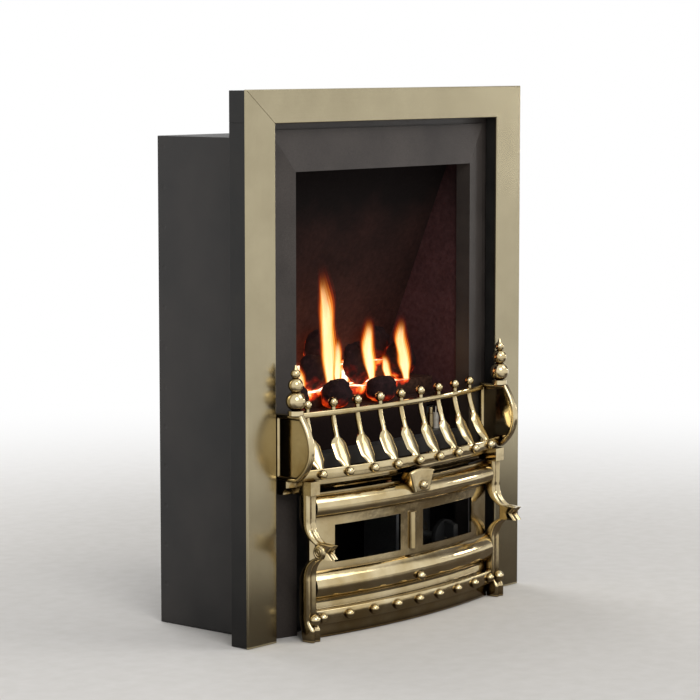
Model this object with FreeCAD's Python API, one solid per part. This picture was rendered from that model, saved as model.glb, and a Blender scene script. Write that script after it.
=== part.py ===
import FreeCAD, Part
import math
import os
from FreeCAD import Vector

# Inset open-fronted gas fire: brass trim, anthracite inner frame, coal bed and brass fret.
# Millimetres. X runs right, Y runs back, Z runs up. The fire seals against the plane y = 0,
# stands on the plane z = 0 and has x = 0 as its centre line.

# Clearances used all over
RUN = 0.05             # radial clearance of a turning or sliding shaft
SLIP = 0.5             # side clearance of a piece that lifts or draws out
SEAT = 0.3             # clearance where one body stands against another

# Trim and spacer
TRIM_W = 486.0
TRIM_H = 605.0
TRIM_STILE = 46.6
TRIM_RAIL = 37.0
TRIM_PROUD = 26.0      # sealing plane to trim face
TRIM_T = 3.0
TRIM_CHAMFER = 0.8
SPACER_INSET = 1.0     # spacer edge inside the trim edge
MAGNET_R = 7.0
MAGNET_T = 3.0
MAGNET_LOW = 150.0     # lower magnets above the foot of the trim
MAGNET_DROP = 148.0    # upper magnets below the trim rail
MAGNET_TOP_X = 120.0

# Inner frame
REVEAL = 7.4           # dark gap between trim and inner frame
FRAME_SIDE = 34.3      # face width of each leg
FRAME_HEAD = 46.0      # face height of the head
FRAME_OUT_BACK = 16.0  # outer edge of the face, behind the trim face
FRAME_IN_BACK = 8.0    # inner edge of the face, behind the trim face
FRAME_JAMB_D = 20.0    # jamb that turns back into the chamber
FRAME_LIP = 21.0       # fixing lip beside the legs, on the case flange
FRAME_HEAD_LIP = 9.0
SCREW_R = 2.0
SCREW_HEAD_R = 4.0
SCREW_HEAD_T = 2.5
SCREW_LOW = 80.0
SCREW_DROP = 35.0      # top screw below the head of the opening
SCREW_COUNT = 3

# Case
SHEET = 1.5
CASE_LAP = 1.6         # case side outside the trim's inner edge
CASE_DROP = 16.0       # case top below the trim rail
CASE_D = 150.0
BASE_T = 2.0
SEAL_T = 4.0
FLANGE_INSET = 11.0    # flange edge inside the trim edge
FLANGE_TOP_INSET = 20.0
WALL_HOLE_R = 2.75
WALL_HOLE_INSET = 14.0
WALL_HOLE_LOW = 100.0
WALL_HOLE_DROP = 85.0  # upper fixing holes below the flange top
SEAL_HOLE_GAP = 1.25
SPIGOT_GAP = 12.5      # case depth left in front of the spigot and behind it
SPIGOT_H = 45.0
SPIGOT_RING = 7.5

# Chamber
SHELF_Z = 198.0        # top of the burner shelf
SHELF_T = 2.0
SHELF_LIP = 20.0
SHELF_TONGUE = 17.5    # how far the shelf reaches forward between the jambs
LEDGE_W = 15.0
LEDGE_INSET = 10.0
PANEL_T = 18.0
PANEL_SET = 3.3        # chamber side panel outside the jamb
PANEL_DROP = 5.5       # panel top below the case roof
PANEL_REAR_GAP = 18.0  # panel rear edge to the case back
BACK_Y = 106.3         # face of the back panel at its foot
BACK_T = 15.0
BACK_KNEE = 102.0      # knee of the back panel above the shelf
BACK_LEAN = 22.5       # degrees from upright above the knee
CLIP_W = 20.0
CLIP_SHARES = (0.25, 0.75)        # places of the clips along a panel
STAY_X = 100.0
STAY_W = 20.0
STAY_DROP = 45.0       # stays below the head of the opening
STAY_T = 3.0

# Burner, fuel bed and coals
BED_FRONT_Y = 4.0
BED_STEPS = (36.0, 32.0)          # depth of the front and middle steps
BED_RISES = (42.0, 60.0, 82.0)    # height of each step above the shelf
BED_WALL = 14.0
BED_GAP = 1.0          # fuel bed to panels and burner box
BURNER_INSET = 39.0    # burner box end inside the fuel bed end
BURNER_H = 28.0
PORT_L = 18.0
PORT_W = 3.0
PORT_COUNT = 8
COAL_COUNTS = (4, 4, 3)
COAL_HEIGHTS = (36.0, 50.0, 44.0)
COAL_W = 50.0
COAL_GAP = 6.0         # least gap between neighbours in a row
COAL_SET = 1.5         # lump to the edge of its step
COAL_ROUND = 0.62      # half height of the whole egg as a share of the lump's height
COAL_TURNS = (9.0, -12.0)         # degrees that lumps are tipped
COAL_SPREAD = 0.08     # step between tall, middling and low lumps

# Gas controls
VALVE_INSET = 44.7     # spindle inside the edge of the opening
VALVE_Z = 75.0
VALVE_W = 64.0
VALVE_H = 70.0
VALVE_Y = 30.0
VALVE_D = 50.0
BONNET_R = 18.0
BONNET_T = 8.0
SPINDLE_R = 4.0
SPINDLE_FLAT = 1.0     # depth of the flat that keys spindle and driver
DRIVER_R = 10.0
DRIVER_L = 20.0
KNOB_R = 21.0
KNOB_L = 20.0
KNOB_PROUD = 64.0      # knob front ahead of the valve face
KNOB_GRIP_T = 8.0
KNOB_SKIRT = 6.0
KNOB_TAPER = 0.85      # crown front radius as a share of its rear radius
PUSH_TRAVEL = 4.0
PIPE_R = 4.0
PIPE_BEND = 12.0
PILOT_PIPE_R = 2.0
LEAD_R = 1.5
RISER_SET = 18.0       # first small tube behind the valve face
RISER_PITCH = 10.0
PILOT_SIDE = 14.0      # pilot beside the spindle
PILOT_PITCH = 10.5
PILOT_SET = 12.0       # pilot behind the front of the fuel bed
PILOT_H = 26.0
PILOT_STEM = 0.7       # share of the pilot's height below its hood
NOTCH_W = 44.0
NOTCH_D = 26.0
UNION_L = 28.0
UNION_R = 9.0
INLET_BORE_R = 4.05
INLET_DEPTH = 14.0
GROMMET_R = 9.0
GROMMET_BORE_R = 5.5

# Ashpan cover, stacked from its foot up
PLINTH_H = 16.0
BASE_RAIL_H = 16.0
BASE_STRIP = 7.5
LOW_ROLL_STRIP = 1.5
LOW_ROLL_H = 34.0
SILL_H = 7.0
WINDOW_H = 42.0
LINTEL_H = 10.0
TOP_ROLL_H = 26.0
TOP_STRIP = 2.0
COVER_SET = 8.0        # face of the cover behind the bead line
COVER_T = 3.0
COVER_END = 8.0        # cover beyond the outermost beads
ROLL_BULGE = 12.0
MULLION_HALF = 20.0
MULLION_RIB_R = 5.0
STILE_W = 35.0
PLINTH_SET = 5.0
PULL_TOP_W = 44.0
PULL_LOW_W = 26.0
PULL_H = 24.0
PULL_CROWN = 4.0
PULL_PROUD = 4.0
PULL_EASE = 2.6
BOSS_R = 5.5
BOSS_RISE = 1.5        # upper boss above the foot of the pull, in radii
BOSS_DROP = 7.0        # lower boss below the middle of its roll

# Fret, stacked on the cover's top edge
COVER_GAP = 1.0        # cover top to fret shelf
FRET_SHELF_T = 15.0
FRET_SHELF_SET = 10.0
COVE_R = 9.0
BEAD_RAIL_H = 12.0
BEAD_RAIL_D = 10.0
BEAD_SET = 2.0         # bead rail face ahead of the bead line
BEAD_R = 5.5
BAR_COUNT = 9
BAR_H = 54.0
BAR_END = 28.6         # outermost bar to the cheek
BAR_SET = 25.0         # top rail behind the bead line
BAR_T = 5.0
BAR_STEM_W = 8.0
BAR_PADDLE_W = 20.0
BAR_FOOT_W = 12.0
BAR_FLARE = 3.5        # hollow of the bar behind a straight line
BAR_NECK = 0.62        # share of the bar's height where its stem ends
BAR_WIDE = 0.40        # share where its paddle is full width
BAR_HEEL = 0.14        # share where the paddle begins to round off
RAIL_H = 6.0
RAIL_D = 6.0
FINIAL_R = 5.5
FINIAL_RISE = 1.5      # ball centre above the rail, in radii
FRET_REACH = 39.0      # bead line ahead of the trim face on the centre line
FRET_BOW = 15.0        # bow of the bead line over the outermost bars
CHEEK_INSET = 9.4      # cheek inside the trim's inner edge
CHEEK_T = 8.0
CHEEK_RISE = 2.0       # cheek top above the top rail
CHEEK_TOP_Y = 26.0     # front of the cheek top ahead of the trim face
CHEEK_BULGE = 41.0     # cheek bulge ahead of the trim face
CHEEK_FOOT = 20.0
CHEEK_GAP = 2.0        # cheek back edge to the inner frame
POST_Y = 16.0          # post axis ahead of the trim face
POST_BALLS = (11.0, 8.5, 5.5)     # radii of the stacked balls
POST_NECK_R = 4.0
POST_STACK = 1.8       # step from ball to ball, in radii
POST_SINK = 0.95       # ball centre above its seat, in radii
POST_BASE = 0.8        # foot disc as a share of the lowest ball
POST_BASE_H = 5.0
POST_TIP = 5.0
PAD_PROUD = 4.0        # pillar cap ahead of the pillar face
PILLAR_FRONT = 26.0    # pillar face ahead of the trim face
PILLAR_T = 14.0
PILLAR_W = 15.0
KNEE_TOP = 110.0       # upper point of the knee above the foot
KNEE_LOW = 95.0        # lower point
KNEE_REACH = 32.0      # knee ahead of the pillar face
KNEE_NOTCH = 7.0       # depth of the hollow between the two points
KNEE_BACK = 22.0       # back of the knee ahead of the pillar's back
KNEE_SWEEP = 26.0      # height over which the pillar curves into the knee
TOE_REACH = 6.0
TOE_Z = 24.0
HEEL_IN = 4.0
FOOT_BALL_R = 6.5
VOLUTE_R = 8.0
VOLUTE_PROUD = 2.5

# Planes and edges that the pieces share
trim_front = -TRIM_PROUD
trim_back = trim_front + TRIM_T
trim_half = TRIM_W / 2
trim_in = trim_half - TRIM_STILE
trim_under = TRIM_H - TRIM_RAIL
frame_half = trim_in - REVEAL
frame_top = trim_under - REVEAL
open_half = frame_half - FRAME_SIDE
open_top = frame_top - FRAME_HEAD
frame_out_y = trim_front + FRAME_OUT_BACK
frame_in_y = trim_front + FRAME_IN_BACK
jamb_back = frame_in_y + FRAME_JAMB_D
flange_back = -SEAL_T
flange_front = flange_back - SHEET
flange_half = trim_half - FLANGE_INSET
flange_top = TRIM_H - FLANGE_TOP_INSET
case_half = trim_in + CASE_LAP
case_in = case_half - SHEET
case_h = trim_under - CASE_DROP
case_back_in = CASE_D - SHEET
case_roof = case_h - SHEET
panel_in = open_half + PANEL_SET
panel_top = case_roof - PANEL_DROP
shelf_low = SHELF_Z - SHELF_T
base_rail_top = PLINTH_H + BASE_RAIL_H
base_strip_top = base_rail_top + BASE_STRIP
low_roll_low = base_strip_top + LOW_ROLL_STRIP
low_roll_high = low_roll_low + LOW_ROLL_H
window_low = low_roll_high + SILL_H
window_top = window_low + WINDOW_H
top_roll_low = window_top + LINTEL_H
top_roll_high = top_roll_low + TOP_ROLL_H
cover_top = top_roll_high + TOP_STRIP
fret_shelf_z = cover_top + COVER_GAP
bead_rail_z = fret_shelf_z + FRET_SHELF_T
bead_rail_top = bead_rail_z + BEAD_RAIL_H
rail_z = bead_rail_top + BAR_H
rail_top = rail_z + RAIL_H
cheek_top = rail_top + CHEEK_RISE
cheek_x = trim_in - CHEEK_INSET
cheek_in = cheek_x - CHEEK_T
bar_half = cheek_in - BAR_END
bar_pitch = 2 * bar_half / (BAR_COUNT - 1)
bead_y = trim_front - FRET_REACH
bead_rail_front = bead_y - BEAD_SET
bow_r = (bar_half ** 2 + FRET_BOW ** 2) / (2 * FRET_BOW)
bow_centre = Vector(0, bead_y + bow_r, 0)
rail_y = bead_y + BAR_SET
cover_half = bar_half + COVER_END
pillar_in = cover_half + SLIP
pillar_out = pillar_in + PILLAR_W
pillar_face = trim_front - PILLAR_FRONT
pillar_back = pillar_face + PILLAR_T
UP = Vector(0, 0, 1)
BACK = Vector(0, 1, 0)
RIGHT = Vector(1, 0, 0)


# Shapes used by several pieces
def box(x0, x1, y0, y1, z0, z1):
    return Part.makeBox(x1 - x0, y1 - y0, z1 - z0, Vector(x0, y0, z0))


def rod(start, along, radius, length):
    return Part.makeCylinder(radius, length, start, along)


def ball(x, y, z, radius):
    return Part.makeSphere(radius, Vector(x, y, z))


def outline(points):
    """Face through points; a point written as (middle, end) makes an arc to its end."""
    edges = []
    here = points[0]
    for step in points[1:] + [points[0]]:
        if isinstance(step, tuple):
            middle, step = step
            edges.append(Part.Arc(here, middle, step).toShape())
        else:
            edges.append(Part.makeLine(here, step))
        here = step
    return Part.Face(Part.Wire(edges))


def across(y, z):
    return Vector(0, y, z)


def facing(x, z):
    return Vector(x, 0, z)


def plan(x, y):
    return Vector(x, y, 0)


def along_x(points, x0, x1):
    face = outline(points)
    face.translate(Vector(x0, 0, 0))
    return face.extrude(Vector(x1 - x0, 0, 0))


def along_y(points, y0, y1):
    face = outline(points)
    face.translate(Vector(0, y0, 0))
    return face.extrude(Vector(0, y1 - y0, 0))


def along_z(points, z0, z1):
    face = outline(points)
    face.translate(Vector(0, 0, z0))
    return face.extrude(Vector(0, 0, z1 - z0))


def joined(shapes):
    return shapes[0].multiFuse(shapes[1:]).removeSplitter()


def mirrored(shape):
    return shape.mirror(Vector(0, 0, 0), RIGHT)


def both_sides(shapes):
    return Part.makeCompound(list(shapes) + [mirrored(s) for s in shapes])


# Trim: three flat brass bars with mitred corners and eased edges
def eased(plate):
    """Chamfer the long front edges that run straight up or straight across."""
    edges = []
    for edge in plate.Edges:
        ends = [v.Point for v in edge.Vertexes]
        on_face = all(abs(p.y - trim_front) < 1e-6 for p in ends)
        straight = abs(ends[0].x - ends[1].x) < 1e-6 or abs(ends[0].z - ends[1].z) < 1e-6
        if on_face and straight and edge.Length > TRIM_STILE:
            edges.append(edge)
    return plate.makeChamfer(TRIM_CHAMFER, edges)


def trim_stile():
    corners = [facing(trim_in, 0), facing(trim_half, 0)]
    corners += [facing(trim_half, TRIM_H), facing(trim_in, trim_under)]
    return eased(along_y(corners, trim_front, trim_back))


def trim_rail():
    corners = [facing(-trim_half, TRIM_H), facing(-trim_in, trim_under)]
    corners += [facing(trim_in, trim_under), facing(trim_half, TRIM_H)]
    return eased(along_y(corners, trim_front, trim_back))


# Spacer: folded black sheet between the trim and the case flange
spacer_half = trim_half - SPACER_INSET
spacer_in = trim_in + SHEET
spacer_web_back = trim_back + SHEET
spacer_low = trim_under + SHEET
spacer_top_z = TRIM_H - SPACER_INSET
spacer_lip_back = flange_front - 2 * SHEET


def spacer_side():
    top = spacer_low
    wall = box(spacer_half - SHEET, spacer_half, trim_back, 0, 0, top)
    web = box(spacer_in, spacer_half, trim_back, spacer_web_back, 0, top)
    lip = box(spacer_in, spacer_in + SHEET, trim_back, spacer_lip_back, 0, top)
    foot_x = flange_half - 2 * SHEET
    foot = box(foot_x - SHEET, foot_x, trim_back, flange_front, 0, top)
    return joined([wall, web, lip, foot])


def spacer_head():
    wall = box(-spacer_half, spacer_half, trim_back, 0, spacer_top_z - SHEET, spacer_top_z)
    web = box(-spacer_half, spacer_half, trim_back, spacer_web_back, spacer_low, spacer_top_z)
    foot_z = flange_top - 2 * SHEET
    foot = box(-case_in, case_in, trim_back, flange_front, foot_z - SHEET, foot_z)
    end = box(spacer_half - SHEET, spacer_half, trim_back, 0, spacer_low, spacer_top_z)
    return joined([wall, web, foot, end, mirrored(end)])


def trim_magnets():
    x = (spacer_in + flange_half) / 2
    discs = []
    for z in (MAGNET_LOW, trim_under - MAGNET_DROP):
        discs.append(rod(Vector(x, spacer_web_back, z), BACK, MAGNET_R, MAGNET_T))
    head_z = (spacer_top_z + flange_top) / 2
    discs.append(rod(Vector(MAGNET_TOP_X, spacer_web_back, head_z), BACK, MAGNET_R, MAGNET_T))
    return both_sides(discs)


# Inner frame: one pressed sheet with jambs, a sloped face and a fixing lip
def frame_section(out, inn):
    """Corner list of the folded sheet, as (distance from x = 0 or z = 0, y) pairs."""
    slope = (frame_out_y - frame_in_y) / (out - inn)
    skin = SHEET * math.sqrt(1 + slope ** 2)
    in_back = frame_in_y + slope * SHEET + skin
    out_back = frame_out_y - slope * SHEET + skin
    lip = out + FRAME_LIP
    lip_front = flange_front - SHEET
    return [(lip, flange_front), (lip, lip_front), (out, lip_front), (out, frame_out_y),
            (inn, frame_in_y), (inn, jamb_back), (inn + SHEET, jamb_back), (inn + SHEET, in_back),
            (out - SHEET, out_back), (out - SHEET, flange_front)]


frame_lip_top = frame_top + FRAME_HEAD_LIP


def inner_frame():
    reach = FRAME_LIP + FRAME_SIDE
    rise = FRAME_HEAD * reach / FRAME_SIDE
    mitre_points = [facing(-open_half, open_top), facing(open_half, open_top)]
    mitre_points += [facing(open_half + reach, open_top + rise)]
    mitre_points += [facing(-open_half - reach, open_top + rise)]
    mitre = along_y(mitre_points, frame_in_y - SHEET, jamb_back + SHEET)
    leg_points = [plan(x, y) for x, y in frame_section(frame_half, open_half)]
    leg = along_z(leg_points, 0, frame_lip_top).cut(mitre)
    head_points = [across(y, z) for z, y in frame_section(frame_top, open_top)]
    head = along_x(head_points, -open_half - reach, open_half + reach).common(mitre)
    cap = box(-trim_half, trim_half, frame_in_y, jamb_back, 0, frame_lip_top)
    frame = joined([leg, mirrored(leg), head.common(cap)])
    holes = screw_holes(SCREW_R, SHEET / 2)
    return frame.cut(holes + [mirrored(hole) for hole in holes] + [case_base()])


def frame_screw_heights():
    pitch = (open_top - SCREW_DROP - SCREW_LOW) / (SCREW_COUNT - 1)
    return [SCREW_LOW + i * pitch for i in range(SCREW_COUNT)]


screw_x = (case_half + frame_half + FRAME_LIP) / 2
screw_y = flange_front - SHEET


def screw_holes(radius, extra):
    """Drills for the inner frame screws on the right-hand side."""
    start = screw_y - extra
    return [rod(Vector(screw_x, start, z), BACK, radius, 2 * SHEET + 2 * extra)
            for z in frame_screw_heights()]


def frame_screws():
    screws = []
    for z in frame_screw_heights():
        shank = rod(Vector(screw_x, screw_y, z), BACK, SCREW_R, 2 * SHEET)
        head = Part.makeSphere(SCREW_HEAD_R, Vector(screw_x, screw_y, z))
        head = head.common(rod(Vector(screw_x, screw_y - SCREW_HEAD_T, z), BACK,
                               SCREW_HEAD_R, SCREW_HEAD_T))
        screws.append(joined([shank, head]))
    return both_sides(screws)


# Case: folded and welded sheets round the chamber, with a flange that takes the seal
wall_hole_x = flange_half - WALL_HOLE_INSET
wall_hole_heights = (WALL_HOLE_LOW, flange_top - WALL_HOLE_DROP)
spigot_y = (flange_front + case_back_in) / 2
spigot_r = CASE_D / 2 - SPIGOT_GAP
valve_x = open_half - VALVE_INSET
inlet_y = VALVE_Y + VALVE_D / 2
inlet_z = VALVE_Z - VALVE_H / 4


def wall_holes(radius):
    return [rod(Vector(wall_hole_x, flange_front - SHEET, z), BACK, radius,
                SEAL_T + 3 * SHEET) for z in wall_hole_heights]


def case_side():
    wall = box(case_in, case_half, flange_front, CASE_D, 0, case_h)
    flange = box(case_in, flange_half, flange_front, flange_back, 0, flange_top)
    side = joined([wall, flange])
    return side.cut(wall_holes(WALL_HOLE_R) + screw_holes(SCREW_R, SHEET / 2))


def case_side_with_inlet():
    hole = rod(Vector(case_in - SHEET, inlet_y, inlet_z), RIGHT, GROMMET_R, 3 * SHEET)
    return case_side().cut(hole)


def case_top():
    roof = box(-case_in, case_in, flange_front, case_back_in, case_roof, case_h)
    flange = box(-case_in, case_in, flange_front, flange_back, case_roof, flange_top)
    hole = rod(Vector(0, spigot_y, case_roof - SHEET), UP, spigot_r - SHEET, 3 * SHEET)
    return joined([roof, flange]).cut(hole)


def case_back():
    return box(-case_in, case_in, case_back_in, CASE_D, BASE_T, case_h)


def case_base():
    return box(-case_in, case_in, flange_front, CASE_D, 0, BASE_T)


def wall_seal():
    side = box(case_half, flange_half, flange_back, 0, 0, flange_top)
    side = side.cut(wall_holes(WALL_HOLE_R + SEAL_HOLE_GAP))
    head = box(-case_half, case_half, flange_back, 0, case_h, flange_top)
    return Part.makeCompound([side, mirrored(side), head])


def flue_spigot():
    centre = Vector(0, spigot_y, case_h)
    tube = rod(centre, UP, spigot_r, SPIGOT_H)
    ring = rod(centre, UP, spigot_r + SPIGOT_RING, SHEET)
    bore = rod(centre, UP, spigot_r - SHEET, SPIGOT_H)
    return joined([tube, ring]).cut(bore)


def pipe_grommet():
    lips = rod(Vector(case_in - SHEET, inlet_y, inlet_z), RIGHT, GROMMET_R + 2 * SHEET, 3 * SHEET)
    sheet = box(case_in, case_half, 0, CASE_D, 0, SHELF_Z)
    neck = rod(Vector(case_in, inlet_y, inlet_z), RIGHT, GROMMET_R, SHEET)
    bore = rod(Vector(case_in - SHEET, inlet_y, inlet_z), RIGHT, GROMMET_BORE_R, 3 * SHEET)
    return joined([lips.cut(sheet).cut(neck), neck]).cut(bore)


# Chamber: shelf, ceramic panels and what holds them
pilot_x = valve_x + PILOT_SIDE
pilot_y = BED_FRONT_Y + PILOT_SET
thermocouple_x = pilot_x - PILOT_PITCH
electrode_x = pilot_x + PILOT_PITCH
injector_x = valve_x - VALVE_W / 4
injector_y = VALVE_Y + VALVE_D / 2
injector_r = 2 * PIPE_R


def pilot_holes(z0, z1):
    radius = PILOT_PIPE_R + LEAD_R / 2
    places = (thermocouple_x, pilot_x, electrode_x)
    return [rod(Vector(x, pilot_y, z0), UP, radius, z1 - z0) for x in places]


def burner_shelf():
    plate = box(-case_in, case_in, jamb_back + SLIP, case_back_in, shelf_low, SHELF_Z)
    half = open_half - SLIP
    edge = jamb_back - SHELF_TONGUE
    tongue = box(-half, half, edge, jamb_back + 2 * SLIP, shelf_low, SHELF_Z)
    lip = box(-half, half, edge, edge + SHELF_T, SHELF_Z - SHELF_LIP, SHELF_Z)
    feed = rod(Vector(injector_x, injector_y, shelf_low - SHELF_T), UP, injector_r, 3 * SHELF_T)
    return joined([plate, tongue, lip]).cut([feed] + pilot_holes(shelf_low - SHELF_T, SHELF_Z + SHELF_T))


def shelf_ledges():
    y0 = jamb_back + LEDGE_INSET
    y1 = case_back_in - LEDGE_INSET
    level = box(case_in - LEDGE_W, case_in, y0, y1, shelf_low - SHELF_T, shelf_low)
    upright = box(case_in - SHELF_T, case_in, y0, y1, shelf_low - LEDGE_W, shelf_low)
    return both_sides([joined([level, upright])])


panel_front_y = jamb_back + SLIP
panel_rear_y = case_back_in - PANEL_REAR_GAP


def side_panel():
    return box(panel_in, panel_in + PANEL_T, panel_front_y, panel_rear_y, SHELF_Z, panel_top)


back_tan = math.tan(math.radians(BACK_LEAN))
back_level_t = BACK_T / math.cos(math.radians(BACK_LEAN))
knee_z = SHELF_Z + BACK_KNEE


def back_face_y(z):
    """Depth of the back panel's face at a height above its knee."""
    return BACK_Y - (z - knee_z) * back_tan


def back_panel():
    top_y = back_face_y(open_top)
    points = [across(BACK_Y, SHELF_Z), across(BACK_Y, knee_z), across(top_y, open_top)]
    points += [across(top_y + back_level_t, open_top), across(BACK_Y + back_level_t, knee_z)]
    points += [across(BACK_Y + back_level_t, SHELF_Z)]
    return along_x(points, -panel_in, panel_in)


def panel_stays():
    x0 = STAY_X - STAY_W / 2
    x1 = STAY_X + STAY_W / 2
    z = open_top - STAY_DROP
    arm = box(x0, x1, back_face_y(z), case_back_in, z, z + STAY_T).cut(back_panel())
    foot = box(x0, x1, case_back_in - STAY_T, case_back_in, z, z + STAY_W)
    return both_sides([joined([arm, foot])])


def panel_clips():
    clips = []
    span = panel_rear_y - panel_front_y
    for share in CLIP_SHARES:
        y = panel_front_y + span * share
        clips.append(box(panel_in + PANEL_T / 2, case_in, y - CLIP_W / 2, y + CLIP_W / 2,
                         panel_top, panel_top + SHEET))
    return both_sides(clips)


# Burner box, stepped fuel bed and the coals that lie on its steps
bed_half = panel_in - BED_GAP
bed_back_y = BACK_Y - BED_GAP
bed_edges = (BED_FRONT_Y, BED_FRONT_Y + BED_STEPS[0], BED_FRONT_Y + sum(BED_STEPS), bed_back_y)
bed_levels = [SHELF_Z + rise for rise in BED_RISES]
burner_half = bed_half - BURNER_INSET
burner_y0 = BED_FRONT_Y + NOTCH_D + BED_GAP
burner_y1 = bed_back_y - BED_WALL
burner_top = SHELF_Z + BURNER_H


def port_slots(z0, z1):
    """Slots above the burner, one row behind each of the two front steps."""
    pitch = 2 * burner_half / PORT_COUNT
    slots = []
    for i in range(PORT_COUNT):
        x = -burner_half + pitch * (i + 0.5)
        for edge in bed_edges[1:3]:
            y = edge + PORT_W
            slots.append(box(x - PORT_L / 2, x + PORT_L / 2, y - PORT_W / 2, y + PORT_W / 2, z0, z1))
    return slots


def burner_box():
    shell = box(-burner_half, burner_half, burner_y0, burner_y1, SHELF_Z, burner_top)
    inside = box(-burner_half + SHEET, burner_half - SHEET, burner_y0 + SHEET, burner_y1 - SHEET,
                 SHELF_Z + SHEET, burner_top - SHEET)
    feed = rod(Vector(injector_x, injector_y, SHELF_Z), UP, injector_r, 2 * SHEET)
    return shell.cut([inside, feed] + port_slots(burner_top - 2 * SHEET, burner_top + SHEET))


def pilot_notch(z1):
    half = NOTCH_W / 2
    return box(pilot_x - half, pilot_x + half, BED_FRONT_Y - SHEET, BED_FRONT_Y + NOTCH_D, SHELF_Z, z1)


def fuel_bed():
    y0, y1, y2, y3 = bed_edges
    low, mid, high = bed_levels
    front_leg = burner_y0 - BED_GAP
    rear_leg = burner_y1 + BED_GAP
    points = [across(y0, SHELF_Z), across(y0, low), across(y1, low), across(y1, mid), across(y2, mid)]
    points += [across(y2, high), across(y3, high), across(y3, SHELF_Z), across(rear_leg, SHELF_Z)]
    points += [across(rear_leg, burner_top), across(front_leg, burner_top), across(front_leg, SHELF_Z)]
    bed = along_x(points, -bed_half, bed_half)
    return bed.cut([pilot_notch(mid)] + port_slots(burner_top - SHEET, high + SHEET))


def coal(x, y, z, wide, deep, high, turn):
    """Cobble with a flat foot: an egg, tipped a little, cut off at the bed."""
    egg = FreeCAD.Matrix()
    egg.scale(Vector(wide / 2, deep / 2, high * COAL_ROUND))
    lump = Part.makeSphere(1).transformGeometry(egg)
    lump.rotate(Vector(0, 0, 0), BACK, turn)
    lump.translate(Vector(x, y, z + high - high * COAL_ROUND))
    return lump.common(box(x - wide, x + wide, y - deep, y + deep, z, z + 2 * high))


def coal_row(row):
    count = COAL_COUNTS[row]
    pitch = 2 * bed_half / count
    y0 = bed_edges[row] + COAL_SET
    y1 = bed_edges[row + 1] - COAL_SET
    crown = bed_levels[row] + COAL_HEIGHTS[row]
    if crown > knee_z:
        y1 = min(y1, back_face_y(crown) - COAL_SET)
    wide = min(COAL_W, pitch - COAL_GAP)
    lumps = []
    for i in range(count):
        x = -bed_half + pitch * (i + 0.5)
        high = COAL_HEIGHTS[row] * (1 - COAL_SPREAD * ((i + row) % 3))
        turn = COAL_TURNS[(i + row) % 2]
        lumps.append(coal(x, (y0 + y1) / 2, bed_levels[row], wide, y1 - y0, high, turn))
    return lumps


def coals_front():
    """The front row, without the lumps that would stand over the pilot."""
    notch = pilot_notch(TRIM_H)
    return Part.makeCompound([lump for lump in coal_row(0) if lump.common(notch).Volume == 0])


# Gas controls, reached behind the ashpan cover
valve_left = valve_x - VALVE_W / 2
valve_right = valve_x + VALVE_W / 2
valve_low = VALVE_Z - VALVE_H / 2
valve_top = VALVE_Z + VALVE_H / 2
driver_y0 = VALVE_Y + SLIP
driver_y1 = driver_y0 + DRIVER_L
spindle_end = driver_y1 - PUSH_TRAVEL - 2 * SLIP
spindle_flat_y = driver_y0 - PUSH_TRAVEL - SLIP
knob_front_y = VALVE_Y - KNOB_PROUD
knob_back_y = knob_front_y + KNOB_L
knob_bore_y = knob_back_y - KNOB_L / 2


def on_spindle(y):
    return Vector(valve_x, y, VALVE_Z)


def gas_valve():
    block = box(valve_left, valve_right, VALVE_Y, VALVE_Y + VALVE_D, valve_low, valve_top)
    return block.cut(rod(on_spindle(VALVE_Y), BACK, DRIVER_R + RUN, DRIVER_L + 2 * SLIP))


def valve_bonnet():
    disc = rod(on_spindle(VALVE_Y - BONNET_T), BACK, BONNET_R, BONNET_T)
    return disc.cut(rod(on_spindle(VALVE_Y - BONNET_T), BACK, SPINDLE_R + RUN, BONNET_T))


def keyed(radius, flat, y0, y1):
    """Round bar with one flat side, along the spindle."""
    bar = rod(on_spindle(y0), BACK, radius, y1 - y0)
    side = box(valve_x + flat, valve_x + 2 * radius, y0, y1, VALVE_Z - radius, VALVE_Z + radius)
    return bar.cut(side)


def spindle_driver():
    sleeve = rod(on_spindle(driver_y0), BACK, DRIVER_R, DRIVER_L)
    return sleeve.cut(keyed(SPINDLE_R + RUN, SPINDLE_R - SPINDLE_FLAT + RUN, driver_y0, driver_y1))


def control_spindle():
    plain = rod(on_spindle(knob_bore_y), BACK, SPINDLE_R, spindle_flat_y - knob_bore_y)
    return joined([plain, keyed(SPINDLE_R, SPINDLE_R - SPINDLE_FLAT, spindle_flat_y, spindle_end)])


def control_knob():
    skirt_y = knob_back_y - KNOB_SKIRT
    skirt = rod(on_spindle(skirt_y), BACK, KNOB_R, KNOB_SKIRT)
    crown_r = KNOB_R - SHEET
    crown = Part.makeCone(crown_r * KNOB_TAPER, crown_r, KNOB_L - KNOB_SKIRT, on_spindle(knob_front_y), BACK)
    grip = box(valve_x - KNOB_GRIP_T / 2, valve_x + KNOB_GRIP_T / 2, knob_front_y, skirt_y,
               VALVE_Z - KNOB_R, VALVE_Z + KNOB_R)
    bore = rod(on_spindle(knob_bore_y), BACK, SPINDLE_R + RUN, knob_back_y - knob_bore_y)
    return joined([skirt, crown.common(grip)]).cut(bore)


def valve_bracket():
    y0 = VALVE_Y
    y1 = VALVE_Y + VALVE_D
    seat = valve_low - SHEET
    points = [across(y0, valve_low), across(y0, seat), across(y1 - SHEET, seat)]
    points += [across(y1 - SHEET, BASE_T + SHEET), across(y0, BASE_T + SHEET), across(y0, BASE_T)]
    points += [across(y1, BASE_T), across(y1, valve_low)]
    return along_x(points, valve_left, valve_right)


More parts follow.
